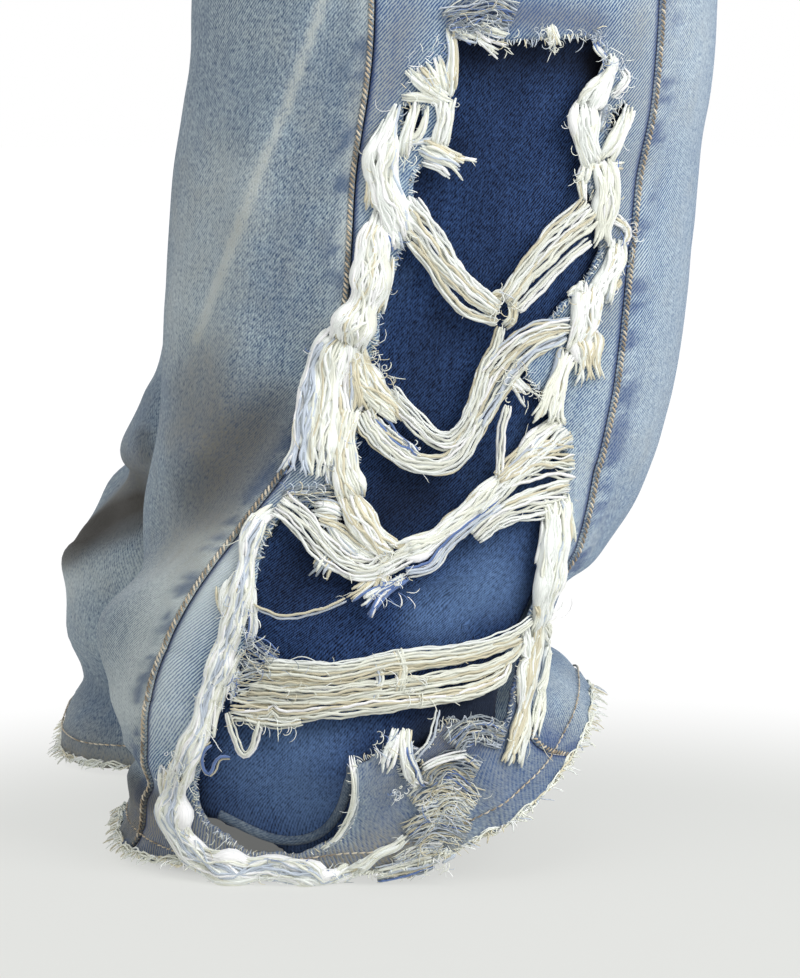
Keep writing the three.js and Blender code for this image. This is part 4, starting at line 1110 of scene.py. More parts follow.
def rope(yarns, path, width, mix_name, free):
    """Yarns that wander over a soft core along a thick strand; a free end spreads like a tassel."""
    count = max(4, int(ROPE_LAYERS * np.mean(width) * MM_PER_PIXEL / (2 * YARN_RADIUS)))
    steps = max(6, int(path.length / YARN_STEP))
    start = np.minimum(rng.uniform(0, 0.25, (count, 1)) * path.length, 8)
    stop = path.length - rng.uniform(0, 7 if free else 4, (count, 1))
    phase = rng.uniform(0, 6, 2)

    def half_at(s):
        lumps = [rise * np.sin(s / length + turn) for (rise, length), turn in zip(ROPE_LUMPS, phase)]
        return half_width(width, s / path.length) * (1 + sum(lumps))

    def height_at(s):
        height = mix(END_HEIGHT, 1, smooth(s, 0, END_LENGTH))
        if free:
            return height
        return height * mix(END_HEIGHT, 1, smooth(path.length - s, 0, END_LENGTH))

    s = mix(start, stop, np.linspace(0, 1, steps))
    half = half_at(s)
    loose = np.where(rng.uniform(0, 1, (count, 1)) < LOOSE_SHARE, LOOSE_SWAY, HELD_SWAY)
    lane = np.linspace(-1, 1, count)[rng.permutation(count)][:, None]
    lane = 1.1 * np.tanh(lane + loose * sway(s, (64, 30)) + 0.07 * sway(s, (12, 8)))
    fray = np.clip(1 - (path.length - s) / FRAY_LENGTH, 0, 1) ** 2 * free
    layer = (np.arange(count) % 2)[:, None] * 0.8 * YARN_RADIUS
    dome = np.sqrt(np.maximum(1 - 0.75 * lane ** 2, 0.1))
    rise = half * height_at(s) * ROPE_RISE * dome * (1 - 0.5 * fray)
    out = 0.3 + rise + layer + 0.2 * sway(s, (15, 8))
    across = half * lane * (1 + 0.5 * fray) + fray * rng.uniform(-FRAY_SPREAD, FRAY_SPREAD, (count, 1))
    main = rng.choice(len(TINTS), p=MIXES[mix_name])
    size = ROPE_YARN * rng.uniform(0.85, 1.35, count)
    yarns.add(path.offset(s, across, out), size, tints(count, mix_name, main))
    core_end = path.length - (min(FRAY_LENGTH, 0.4 * path.length) if free else 1.0)
    s = np.broadcast_to(np.linspace(0.5, core_end, steps), (len(CORE_LANES), steps))
    half = half_at(s)
    lane = CORE_LANES + 0.22 * sway(s, (46, 22))
    height = half * height_at(s)
    out = height * (0.4 - 0.1 * lane ** 2 + 0.1 * sway(s, (30, 17)))
    core_tints = tints(len(CORE_LANES), "pale", 0)
    yarns.add(path.offset(s, half * lane, out), CORE_RADIUS * height, core_tints, sides=8)


STRAY_STEPS = 6


def strays(yarns, path, width, count, mix_name, length=(2, 6), curl=0.25, radius=0.17):
    """Loose ends that leave a rope or a band and curl."""
    s = rng.uniform(0, path.length, count)
    side = rng.choice([-1.0, 1.0], count)
    half = half_width(width, s / path.length)
    point = path.offset(s, side * half * rng.uniform(0.3, 0.9, count), 1.0 + half * 0.6)
    along, across, out = (path.at(s, field) for field in ("along", "across", "out"))
    heading = rng.uniform(0.1, 1.1, count) * side
    bend = rng.normal(0, curl, count)
    stride = rng.uniform(*length, count) / STRAY_STEPS
    lines = [point]
    for k in range(STRAY_STEPS):
        heading = heading + bend + rng.normal(0, 0.14, count)
        ahead = along * np.cos(heading)[:, None] + across * np.sin(heading)[:, None]
        rise = out * (0.3 - 0.08 * k + rng.normal(0, 0.1, count))[:, None]
        lines.append(lines[-1] + unit(ahead + rise + (0, 0, -0.15)) * stride[:, None])
    yarns.add(np.stack(lines, 1), radius * rng.uniform(0.7, 1.3, count), tints(count, mix_name), sides=3)


# The underlay's rolled hem
HEM_LINE = [(214, 818), (245, 833), (275, 844), (302, 845), (325, 836), (341, 818), (349, 795), (351, 768)]
HEM_HALF, HEM_RISE, HEM_WALL = 2.1, 1.1, 0.8
HEM_LOOK = {"wear_and_shading": -0.5, "grime_and_shade": 0.3, "felt": 0.6}
path = paths([HEM_LINE])[0]
across, s = np.meshgrid(np.linspace(-HEM_HALF, HEM_HALF, 9), np.linspace(0, path.length, 120))
pucker = 1 + 0.12 * np.sin(s / 1.6)
roll = 0.4 + HEM_RISE * np.sqrt(np.maximum(1 - (across / HEM_HALF) ** 2, 0)) * pucker
outer = path.offset(s, across, roll - UNDERLAY_DEPTH)
inner = path.offset(s, across, roll - UNDERLAY_DEPTH - HEM_WALL)
verts, faces, source = shell(outer, inner)
values = {key: np.full(len(source), value) for key, value in HEM_LOOK.items()}
uv = np.stack([across, -s], -1).reshape(-1, 2)[source]
mesh_object("underlay_hem", verts, faces, GREYED, uv, values)

# Ropes along the rip's edges: line in the picture, widths in pixels at even steps along it, mix, free end
ROPES = [
    ([(449, 27), (453, 50), (452, 74), (449, 98)], (9, 11), "warm", False),
    ([(406, 70), (420, 82), (436, 94), (451, 103)], (14, 15), "pale", False),
    ([(420, 64), (430, 78), (444, 98)], (14, 12), "grey", False),
    ([(437, 55), (443, 76), (448, 98)], (12, 10), "warm", False),
    ([(400, 97), (424, 98), (451, 105)], (9, 9), "warm", False),
    ([(446, 98), (446, 118), (442, 134), (438, 152)], (20, 18), "pale", False),
    ([(420, 144), (438, 153), (456, 162), (471, 171)], (18, 22), "warm", True),
    ([(422, 160), (440, 166), (456, 176)], (11, 11), "blue", True),
    ([(417, 99), (412, 118), (406, 140), (404, 160)], (9, 9), "warm", False),
    ([(427, 104), (424, 124), (416, 138), (401, 143)], (5, 6), "warm", False),
    ([(398, 142), (420, 142), (438, 136)], (4, 4), "pale", False),
    ([(398, 103), (390, 124), (384, 148), (381, 170), (386, 190), (394, 212), (404, 242)],
     (9, 17, 28, 36, 34, 30, 22), "pale", False),
    ([(377, 168), (377, 190), (376, 212)], (18, 24), "warm", False),
    ([(406, 196), (412, 208), (418, 222)], (14, 20), "grey", False),
    ([(380, 206), (388, 228), (394, 252)], (16, 26), "blue", False),
    ([(384, 206), (376, 232), (372, 262), (370, 288), (360, 314), (346, 346)],
     (22, 32, 32, 36, 42, 40), "pale", False),
    ([(390, 254), (388, 280), (378, 315)], (10, 12), "warm", False),
    ([(338, 328), (318, 358), (312, 390), (306, 424), (297, 476)], (18, 20, 22, 26), "blue", True),
    ([(346, 330), (334, 360), (331, 390), (325, 434), (318, 482)], (22, 24), "pale", True),
    ([(358, 326), (349, 356), (347, 384), (345, 426)], (18, 14), "pale", True),
    ([(354, 344), (362, 370), (378, 396), (402, 420)], (26, 24), "tan", False),
    ([(358, 346), (362, 380), (362, 414)], (24, 26), "tan", False),
    ([(352, 406), (344, 438), (345, 470), (354, 502)], (22, 30), "warm", False),
    ([(336, 424), (333, 456), (336, 488)], (16, 16), "grey", False),
    ([(310, 506), (328, 508), (346, 516)], (14, 22), "pale", False),
    ([(340, 478), (354, 508), (371, 533), (394, 554)], (28, 28), "pale", False),
    ([(322, 506), (334, 528), (352, 548), (378, 562)], (12, 12), "warm", False),
    ([(506, 372), (518, 386), (530, 400)], (16, 12), "warm", True),
    ([(390, 554), (425, 544), (452, 524), (482, 497), (506, 476)], (22, 18), "pale", False),
    ([(508, 470), (526, 448), (546, 427), (565, 415)], (14, 18), "pale", False),
    ([(276, 507), (262, 519), (250, 540), (247, 562), (243, 586), (238, 606), (232, 630), (222, 658),
      (212, 690), (202, 722), (190, 756), (182, 780), (178, 804), (182, 828), (194, 848), (214, 862),
      (240, 869), (270, 865), (300, 869), (330, 874), (354, 868)],
     (16, 20, 20, 20, 22, 26, 24, 22, 22, 22, 26, 30, 36, 36, 34, 32, 34, 28, 32, 32, 20), "warm", False),
    ([(250, 560), (249, 586), (252, 606), (254, 626), (248, 642)], (10, 10), "blue", False),
    ([(238, 574), (226, 596), (230, 622), (236, 640)], (12, 12), "pale", False),
    ([(222, 586), (224, 608), (240, 626)], (10, 8), "warm", False),
    ([(240, 636), (226, 664), (208, 700), (202, 740)], (9, 9), "pale", False),
    ([(222, 668), (218, 690), (204, 712), (190, 742), (172, 770)], (8, 10), "tan", False),
    ([(206, 690), (202, 716), (194, 744)], (14, 16), "warm", False),
    ([(240, 650), (227, 680), (217, 706), (212, 743)], (11, 9), "pale", True),
    ([(238, 664), (230, 684), (228, 704)], (12, 12), "blue", True),
    ([(166, 764), (168, 790), (172, 814)], (14, 16), "warm", False),
    ([(166, 792), (172, 822), (188, 850), (212, 872)], (14, 16), "warm", False),
    ([(184, 846), (206, 866), (232, 879), (258, 881)], (18, 22), "blue", True),
    ([(252, 876), (290, 880), (322, 886), (350, 876)], (10, 9), "blue", False),
    ([(344, 872), (364, 863), (380, 851), (396, 845), (412, 833)], (16, 6), "pale", True),
    ([(549, 24), (551, 38), (545, 52)], (6, 8), "pale", True),
    ([(552, 24), (556, 38), (562, 52)], (6, 8), "pale", True),
    ([(476, 26), (496, 33), (520, 38)], (7, 6), "grey", True),
    ([(470, 30), (486, 42), (502, 52)], (8, 7), "pale", True),
    ([(452, 26), (466, 36), (482, 46)], (12, 9), "grey", True),
    ([(594, 39), (598, 50), (607, 58)], (8, 7), "blue", False),
    ([(611, 52), (612, 64), (604, 80), (593, 94), (584, 110)], (9, 26), "pale", False),
    ([(622, 68), (627, 76), (620, 87), (608, 97)], (7, 7), "blue", False),
    ([(586, 98), (582, 124), (585, 146), (593, 166)], (26, 26), "pale", False),
    ([(629, 105), (622, 122), (612, 140), (603, 162)], (11, 26), "pale", False),
    ([(606, 102), (601, 118), (597, 132)], (9, 9), "grey", False),
    ([(583, 166), (600, 164), (623, 166)], (7, 8), "warm", False),
    ([(588, 158), (582, 176), (572, 188)], (12, 10), "pale", True),
    ([(580, 172), (581, 190), (583, 206)], (8, 8), "warm", True),
    ([(602, 158), (604, 190), (602, 216), (598, 248)], (28, 24), "warm", True),
    ([(614, 158), (613, 176), (611, 194)], (9, 8), "blue", True),
    ([(612, 217), (624, 226), (627, 237), (618, 248)], (9, 9), "warm", False),
    ([(618, 238), (612, 262), (602, 284), (597, 304)], (16, 32), "pale", False),
    ([(590, 282), (584, 306), (578, 330), (575, 354)], (32, 38), "pale", False),
    ([(566, 294), (576, 288), (586, 298)], (8, 8), "warm", False),
    ([(492, 322), (487, 306), (497, 294), (511, 300), (512, 318), (502, 328)], (10, 10), "tan", False),
    ([(606, 274), (618, 272), (626, 276)], (9, 7), "grey", True),
    ([(608, 290), (618, 284), (616, 278)], (7, 7), "blue", True),
    ([(584, 328), (585, 356), (587, 384)], (30, 28), "warm", True),
    ([(568, 348), (556, 376), (548, 400), (543, 424)], (22, 30), "pale", True),
    ([(556, 496), (553, 530), (548, 560), (542, 592), (535, 628)], (32, 36, 32, 30), "pale", False),
    ([(545, 512), (541, 540), (536, 566)], (8, 8), "blue", False),
    ([(562, 490), (566, 516), (567, 546)], (12, 10), "warm", True),
    ([(538, 590), (534, 630), (526, 672), (520, 712), (514, 742), (508, 766)], (20, 20), "warm", True),
    ([(538, 600), (542, 640), (540, 680), (535, 712), (532, 740)], (14, 14), "pale", True),
    ([(526, 620), (520, 680), (518, 712), (516, 732)], (14, 15), "pale", True),
    ([(334, 550), (324, 564), (316, 580)], (13, 16), "grey", True),
    ([(353, 538), (355, 558)], (9, 9), "pale", True),
    ([(408, 576), (392, 586), (374, 598), (361, 613)], (10, 22), "blue", True),
    ([(392, 540), (386, 560), (381, 584), (372, 606)], (10, 10), "warm", True),
    ([(384, 566), (366, 586), (346, 600)], (12, 8), "warm", True),
    ([(398, 728), (392, 746), (386, 760), (380, 774)], (14, 10), "pale", True),
    ([(408, 728), (405, 752), (410, 770), (423, 788)], (14, 12), "blue", True),
    ([(352, 754), (355, 784), (351, 812), (338, 836), (320, 850)], (7, 6), "grey", False),
    ([(452, 788), (462, 800), (466, 812)], (8, 8), "pale", True),
    ([(452, 850), (446, 864), (436, 876)], (10, 11), "pale", True),
]
# Bands that still cross the rip: line, widths, yarns, mix
BANDS = [
    ([(404, 210), (425, 234), (449, 267), (476, 295), (498, 310)], (34, 14), 20, "warm"),
    ([(408, 240), (430, 266), (446, 292), (466, 312), (497, 322)], (8, 7), 5, "pale"),
    ([(588, 208), (564, 231), (538, 257), (516, 286), (504, 301)], (34, 15), 20, "warm"),
    ([(587, 240), (562, 261), (541, 284), (516, 310)], (7, 7), 4, "pale"),
    ([(388, 392), (412, 418), (434, 437), (450, 440), (466, 424), (476, 402), (486, 372)],
     (16, 16), 11, "pale"),
    ([(484, 376), (506, 350), (532, 331), (566, 324)], (16, 18), 12, "warm"),
    ([(364, 412), (377, 436), (396, 452), (420, 463), (445, 463), (464, 444), (480, 416)],
     (22, 20), 15, "pale"),
    ([(476, 424), (494, 394), (508, 370), (532, 346), (562, 332)], (18, 20), 13, "grey"),
    ([(374, 420), (392, 440), (416, 456)], (18, 14), 9, "blue"),
    ([(500, 326), (494, 348), (484, 364), (474, 396), (466, 416)], (8, 7), 5, "warm"),
    ([(506, 404), (500, 430), (499, 456), (497, 488)], (6, 6), 4, "warm"),
    ([(318, 518), (344, 529), (366, 546), (388, 552)], (7, 7), 5, "warm"),
    ([(498, 482), (530, 462), (571, 456)], (20, 46), 19, "warm"),
    ([(478, 512), (504, 484), (534, 458), (566, 430)], (14, 22), 12, "pale"),
    ([(474, 538), (500, 517), (530, 506), (563, 499)], (14, 30), 14, "pale"),
    ([(406, 574), (432, 567), (446, 548), (468, 528), (500, 504)], (9, 8), 6, "blue"),
    ([(500, 508), (530, 494), (566, 484)], (7, 14), 7, "pale"),
    ([(280, 503), (301, 520), (320, 543), (340, 562), (367, 572), (390, 560)], (26, 20), 17, "pale"),
    ([(350, 574), (376, 574), (398, 562), (424, 548)], (14, 14), 10, "warm"),
    ([(254, 604), (284, 617), (318, 611), (346, 600)], (3, 3), 2, "warm"),
    ([(266, 662), (330, 668), (397, 656), (463, 648), (503, 635), (528, 618)], (9, 10), 7, "pale"),
    ([(262, 674), (330, 679), (380, 669), (440, 661), (482, 652), (518, 636)], (13, 8), 8, "tan"),
    ([(250, 690), (300, 694), (345, 692), (397, 686), (447, 678), (482, 670), (507, 656), (517, 640)],
     (22, 9), 11, "warm"),
    ([(232, 708), (290, 711), (342, 707), (400, 702), (450, 696), (480, 688), (498, 676), (505, 662)],
     (22, 10), 13, "tan"),
    ([(246, 718), (284, 724), (304, 722)], (10, 6), 5, "warm"),
    ([(228, 712), (236, 736), (245, 754), (254, 748), (262, 720)], (5, 5), 3, "pale"),
    ([(214, 742), (204, 752), (206, 768), (214, 772), (221, 757), (232, 757)], (3, 3), 2, "blue"),
    ([(437, 710), (430, 735), (412, 755)], (3, 3), 2, "warm"),
    ([(396, 650), (402, 668), (398, 692)], (8, 8), 6, "warm"),
    ([(376, 664), (380, 680), (374, 700)], (5, 5), 4, "warm"),
    ([(420, 764), (444, 754), (464, 752)], (8, 7), 5, "pale"),
    ([(376, 874), (400, 872), (432, 874)], (16, 16), 11, "grey"),
]
# Worn places where only fine weft is left: line, widths, yarns, mix
WORN = [
    ([(418, 810), (444, 795), (472, 808)], (44, 40), 44, "grey"),
    ([(410, 838), (436, 824), (466, 834)], (32, 26), 32, "worn"),
    ([(400, 868), (420, 854), (440, 854)], (30, 22), 28, "grey"),
    ([(426, 782), (446, 766), (474, 776)], (40, 34), 40, "slate"),
    ([(450, 744), (470, 728), (502, 738)], (30, 22), 30, "slate"),
    ([(446, 24), (470, 14), (492, 10), (514, 18)], (34, 26), 30, "slate"),
    ([(238, 694), (262, 686), (290, 680), (322, 678)], (44, 30), 40, "worn"),
    ([(246, 652), (258, 656), (276, 664)], (40, 24), 30, "slate"),
    ([(284, 500), (306, 494), (334, 494)], (16, 18), 16, "slate"),
]
# Tangles of loose ends: line, widths, ends, mix
TUFTS = [
    ([(450, 22), (485, 30), (520, 33), (560, 32), (600, 34)], (14, 12), 45, "ash"),
    ([(468, 14), (500, 16)], (26, 24), 20, "ash"),
    ([(470, 32), (490, 44), (508, 48)], (10, 8), 13, "pale"),
    ([(546, 26), (550, 40), (556, 50)], (12, 16), 13, "pale"),
    ([(404, 62), (424, 54), (444, 48)], (12, 10), 15, "blue"),
    ([(404, 72), (420, 84), (440, 96)], (24, 24), 15, "warm"),
    ([(380, 140), (388, 176)], (30, 30), 18, "warm"),
    ([(400, 142), (412, 158)], (20, 20), 12, "warm"),
    ([(598, 44), (622, 70), (612, 98)], (16, 14), 23, "blue"),
    ([(602, 104), (606, 122)], (10, 10), 10, "grey"),
    ([(576, 100), (574, 140), (576, 180)], (12, 12), 15, "pale"),
    ([(612, 220), (626, 236), (620, 280)], (14, 14), 18, "blue"),
    ([(568, 292), (580, 300)], (20, 20), 13, "warm"),
    ([(488, 296), (502, 304), (506, 324)], (22, 22), 25, "warm"),
    ([(360, 352), (376, 374), (390, 400)], (30, 26), 45, "warm"),
    ([(500, 356), (514, 372), (512, 402)], (26, 26), 18, "warm"),
    ([(520, 384), (528, 400)], (20, 16), 15, "warm"),
    ([(334, 426), (332, 456), (330, 484)], (20, 18), 25, "grey"),
    ([(284, 492), (310, 488), (332, 492)], (16, 16), 22, "grey"),
    ([(376, 424), (396, 440), (416, 454)], (18, 18), 20, "blue"),
    ([(372, 590), (390, 590), (406, 588)], (26, 24), 30, "blue"),
    ([(388, 540), (384, 566)], (18, 18), 13, "warm"),
    ([(238, 598), (248, 620), (256, 632)], (24, 20), 25, "blue"),
    ([(246, 640), (258, 652), (268, 668)], (20, 20), 25, "grey"),
    ([(230, 666), (232, 700)], (18, 16), 20, "blue"),
    ([(234, 712), (262, 718), (298, 724)], (14, 14), 22, "warm"),
    ([(170, 756), (190, 764), (184, 790)], (34, 34), 30, "pale"),
    ([(190, 836), (220, 860), (250, 874)], (30, 30), 30, "warm"),
    ([(260, 866), (300, 868), (340, 874)], (28, 26), 35, "blue"),
    ([(380, 676), (400, 682), (430, 690)], (24, 24), 25, "warm"),
    ([(440, 722), (470, 724), (496, 732)], (14, 14), 30, "grey"),
    ([(370, 740), (390, 744)], (20, 20), 15, "grey"),
    ([(392, 780), (408, 788)], (18, 16), 17, "blue"),
    ([(436, 780), (440, 830), (424, 868)], (46, 40), 55, "grey"),
    ([(372, 878), (404, 880), (436, 876)], (12, 12), 23, "warm"),
]
# Column that parts the back ropes from the front ones, and loose ends a millimetre
MIDDLE_COLUMN = 470
ROPE_STRAYS, LONG_STRAYS, BAND_STRAYS = 0.09, 0.03, 0.05
ropes_back, ropes_front, bands, tufts = Yarns(), Yarns(), Yarns(), Yarns()


def laid(table):
    """Each row of a table with its path."""
    return zip(table, paths([row[0] for row in table]))


for (line, width, mix_name, free), path in laid(ROPES):
    rope(ropes_back if line[0][0] < MIDDLE_COLUMN else ropes_front, path, width, mix_name, free)
    strays(tufts, path, width, int(path.length * ROPE_STRAYS), mix_name)
    strays(tufts, path, width, int(path.length * LONG_STRAYS), "warm", length=(8, 18), curl=0.3)
for (_, width, count, mix_name), path in laid(BANDS):
    band(bands, path, width, count, mix_name)
    strays(tufts, path, width, int(path.length * BAND_STRAYS), mix_name)
for (_, width, count, mix_name), path in laid(WORN):
    band(bands, path, width, count, mix_name, lift=0.9, wander=0.3, radius=0.3)
    strays(tufts, path, width, count // 2, mix_name)
for (_, width, count, mix_name), path in laid(TUFTS):
    strays(tufts, path, width, count, mix_name, length=(3, 8), curl=0.5, radius=0.2)

# Short stubs of warp and weft all round the torn edges
STUB_SPACING, STUB_RADIUS, STUB_ROOT = 0.9, 0.24, 2.0
for path in paths([outline + outline[:1] for outline in RIPS]):
    s = np.arange(0, path.length, STUB_SPACING)
    s = s + rng.uniform(-0.4, 0.4, len(s))
    root = path.at(s, "points")
    beside = root + path.at(s, "across") * 1.5
    inward = np.sign(rip_depth(*seen(beside).T) - rip_depth(*seen(root).T))
    length = rng.uniform(1.0, 4.5, len(s))
    lean = rng.normal(0, 0.4, len(s))
    share = np.linspace(0, 1, 5)
    across = inward[:, None] * (length[:, None] * share - STUB_ROOT)
    shift = s[:, None] + length[:, None] * lean[:, None] * share ** 2
    out = -0.6 + 1.6 * np.sin(share * 2.2) * rng.uniform(0.3, 1.4, (len(s), 1))
    lines = path.offset(np.clip(shift, 0, path.length), across, out)
    tufts.add(lines, STUB_RADIUS * rng.uniform(0.8, 1.4, len(s)), tints(len(s), "grey"), sides=3)

for yarns, name in ((ropes_back, "rip_ropes_back"), (ropes_front, "rip_ropes_front"), (bands, "rip_bands")):
    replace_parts(yarns.build(name), "rip_threads")
tufts.build("rip_tufts")


# The frayed hems: angles in degrees, loose ends and the yarns that still run along the edge
HEM_SPAN = -90, 270
END_STEPS, END_RADIUS = 5, 0.36
RUNS, RUN_POINTS, RUN_RADIUS = 9, 270, 0.45


def hem_edge(leg, angle):
    """Points on the raw edge, and the level directions out of it."""
    return leg.surface(angle, HEM), unit(leg.slope(leg.surface, angle, HEM - 0.5) * (1, 1, 0))


def hem_yarn(leg, count, name, node):
    """The frayed hem: loose ends out of the raw edge, over a few yarns that still run along it."""
    yarns = Yarns()
    angle = np.radians(np.linspace(*HEM_SPAN, count)) + rng.normal(0, 0.008, count)
    edge, out = hem_edge(leg, angle)
    along = unit(leg.surface(angle + STEP, HEM) - leg.surface(angle - STEP, HEM))
    length = 2.5 + 8 * rng.uniform(0, 1, count) ** 2
    clump = 0.7 * np.sin(angle * 31 + 1.6 * np.sin(angle * 11))
    heading = unit(out + along * (clump + rng.normal(0, 0.25, count))[:, None] + (0, 0, -0.3))
    side = rng.normal(0, 0.2, count)
    lines = [edge - out * 0.8 + (0, 0, 2.0)]
    for k in range(END_STEPS):
        bend = side + rng.normal(0, 0.25, count)
        heading = unit(heading + along * bend[:, None] + (0, 0, 0.03 - 0.05 * k))
        lines.append(lines[-1] + heading * (length / END_STEPS)[:, None])
    yarns.add(np.stack(lines, 1), END_RADIUS * rng.uniform(0.7, 1.4, count), tints(count, "warm"), sides=3)
    angle = np.radians(np.linspace(*HEM_SPAN, RUN_POINTS))
    edge, out = hem_edge(leg, angle)
    s = np.broadcast_to(angle * 110, (RUNS, RUN_POINTS))
    shift = 0.6 + 1.4 * sway(s, (60, 18))
    rise = 1.2 + 2.2 * sway(s, (45, 16))
    lines = edge + out * shift[..., None] + rise[..., None] * np.array((0, 0, 1))
    yarns.add(lines, RUN_RADIUS, tints(RUNS, "warm"))
    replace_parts(yarns.build(name, leg.mirror), node)


hem_yarn(RIGHT, 1150, "hem_yarn_right", "hem_fringe_right")
hem_yarn(LEFT, 1050, "hem_yarn_left", "hem_fringe_left")

# The pieces above the photograph's edge, placed by shares of a panel's width and by rings
POCKET_LEFT, POCKET_RIGHT, POCKET_TOP, POCKET_BOTTOM = 0.3, 0.78, 1.15, 2.0
POCKET_POINT, POCKET_TAPER = 0.16, 0.12
FLY_WIDTH, FLY_LENGTH, FLY_BEND = 0.3, 1.95, 0.55
POCKET_WALL, FLY_WALL, FACING_WALL = 1.4, 1.2, 1.0
POCKET_OUT, FLY_OUT, FACING_OUT = LAID_GAP + POCKET_WALL, LAID_GAP + FLY_WALL, -CLOTH - LAID_GAP


def hemmed(width, rise):
    """Edges turned under."""
    def relief(across, down):
        beside = np.minimum(across, across[:, -1:] - across)
        edge = np.minimum(beside, np.minimum(down, down[-1:] - down))
        return rise * smooth(edge, width + 1, width - 1) * smooth(edge, -0.3, 1.0)
    return relief


def pocket_place(leg, share, row):
    across = mix(POCKET_LEFT, POCKET_RIGHT, 0.5 + (share - 0.5) * (1 - POCKET_TAPER * row))
    t = POCKET_TOP + row * (POCKET_BOTTOM - POCKET_TOP + POCKET_POINT * (1 - np.abs(2 * share - 1)))
    return mix(*leg.edges("back", t), across), t


def fly_place(leg, share, row):
    t = mix(0.03, FLY_LENGTH, row)
    bend = np.sqrt(np.maximum(1 - (np.maximum(row - FLY_BEND, 0) / (1 - FLY_BEND)) ** 2, 0.02))
    return mix(*leg.edges("front", t), 0.004 + share * FLY_WIDTH * bend), t


even = np.linspace(0, 1, 40)
square = np.meshgrid(even, even)
for leg, side in LEGS:
    cloth(f"cloth_pocket_{side}", f"back_pocket_{side}", "greyed_denim", GREYED, leg,
          *pocket_place(leg, *square), POCKET_OUT, POCKET_WALL, hemmed(6, 0.6))
    facing = panel_grid(leg, "front", np.linspace(0.3, 1, 36), np.linspace(0.02, 1.45, 36))
    cloth(f"cloth_facing_{side}", f"pocket_facing_{side}", "washed_denim", WASHED, leg,
          *facing, FACING_OUT, FACING_WALL)
cloth("cloth_fly", "fly", "washed_denim", WASHED, LEFT,
      *fly_place(LEFT, *square), FLY_OUT, FLY_WALL, hemmed(4, 0.4))

# The waistband: its ends and where it starts to lap in degrees, its distances in millimetres
BAND_TURNS = BAND_START, 360 + BAND_LAP + BAND_START
LAP_START, LAP_END, LAP_GAP = 310, 358 + BAND_START, 0.8
BAND_OUT, BAND_TOP = 0.5, BAND_HEIGHT + BAND_FOOT


def band_point(angle, height, out):
    """Points round the waist at heights over the top ring and distances out from it."""
    front_y, front_h, back_y, back_h, _, half, _, power = HIPS[0][:8]
    radius = square_radius(angle, power)
    forward, depth = radius * np.cos(angle), (back_y - front_y) / 2
    level = (front_h + back_h) / 2 + (front_h - back_h) / 2 * forward
    aim = unit(np.stack([-np.sin(angle) / half, -np.cos(angle) / depth, 0 * angle], -1))
    aside = -half * radius * np.sin(angle)
    point = np.stack([aside, (front_y + back_y) / 2 - depth * forward, 0 * angle], -1)
    point = point + aim * (out - BAND_LEAN * height / BAND_HEIGHT)[..., None]
    point[..., 2] = level + height - WAIST_HEIGHT
    return point


def band_place(turn, height, out):
    """Points on the waistband, which steps out over itself where it laps."""
    lapped = smooth(turn, LAP_START, LAP_END)
    return band_point(np.radians(turn), height, out + lapped * (BAND_WALL + LAP_GAP))


turn, height = np.meshgrid(np.linspace(*BAND_TURNS, 300), np.linspace(BAND_TOP, BAND_FOOT, 15))
edge = np.minimum(height - BAND_FOOT, BAND_TOP - height)
sewn_in = 0.3 * np.exp(-((edge - 3.5) / 1.2) ** 2)
puff = 0.35 * smooth(edge, 0, 5) * (1 + 0.4 * np.sin(turn * 1.1)) - sewn_in
outer = band_place(turn, height, BAND_OUT + puff)
inner = band_place(turn, height, np.full(turn.shape, BAND_OUT - BAND_WALL))
values = painted(outer)
values["wear_and_shading"] = values["wear_and_shading"] + 0.3 * np.exp(-edge / 2)
run = arc(outer, 1)
cloth_piece("cloth_waistband", "waistband", WASHED, (outer, inner),
            np.stack([-height, run], -1), values)

# Belt loops: strips bent in at both ends
LOOP_TURNS = [38, 112, 180, 248, 322]
LOOP_OVER, LOOP_CLEAR, LOOP_WIDTH, LOOP_WALL = 4.0, 1.2, 11.0, 1.5
LOOP_TALL = BAND_HEIGHT + 2 * LOOP_OVER
LOOP_BEND = [(0.75, 0.8), (1.7, 1.0), (2.45, 3.6), (2.6, 9), (2.6, LOOP_TALL - 9), (2.45, LOOP_TALL - 3.6),
             (1.7, LOOP_TALL - 1.0), (0.75, LOOP_TALL - 0.8)]
LOOP_LOOK = {"wear_and_shading": 0.25, "felt": 0.2}


def loop_place(turn):
    """The foot of a belt loop, and its directions out, aside and up."""
    angle, zero = np.radians([turn]), np.zeros(1)
    foot = band_point(angle, zero + BAND_FOOT - LOOP_OVER, zero)[0]
    head = band_point(angle, zero + BAND_TOP + LOOP_OVER, zero)[0]
    step = (band_point(angle + STEP, zero, zero) - band_point(angle - STEP, zero, zero))[0]
    up = unit(head - foot)
    out = unit(np.cross(up, step))
    return foot + out * LOOP_CLEAR, out, np.cross(up, out), up


loop_bend = resampled(LOOP_BEND, 1.0)
tangent = unit(np.gradient(loop_bend, axis=0))
loop_away = np.stack([tangent[:, 1], -tangent[:, 0]], -1)
loop_lane = np.linspace(-0.5, 0.5, 11)
loop_ridge = 0.25 * np.exp(-((np.abs(loop_lane) - 0.36) / 0.06) ** 2)


def loop_face(place, side):
    """One face of a belt loop: side 1 is the outer one, -1 the inner one."""
    foot, out, aside, up = place
    flat = loop_bend[:, None] + loop_away[:, None] * (side * (LOOP_WALL / 2 + loop_ridge))[:, None]
    return foot + flat[..., :1] * out + flat[..., 1:] * up + (loop_lane * LOOP_WIDTH)[:, None] * aside


loop_places = [loop_place(turn) for turn in LOOP_TURNS]
uv = np.stack(np.broadcast_arrays(loop_lane * LOOP_WIDTH, loop_bend[:, 1:]), -1)
for i, place in enumerate(loop_places, 1):
    outer, inner = loop_face(place, 1), loop_face(place, -1)
    cloth_piece(f"cloth_loop_{i}", f"belt_loop_{i}", WASHED, (outer, inner), uv, LOOP_LOOK)

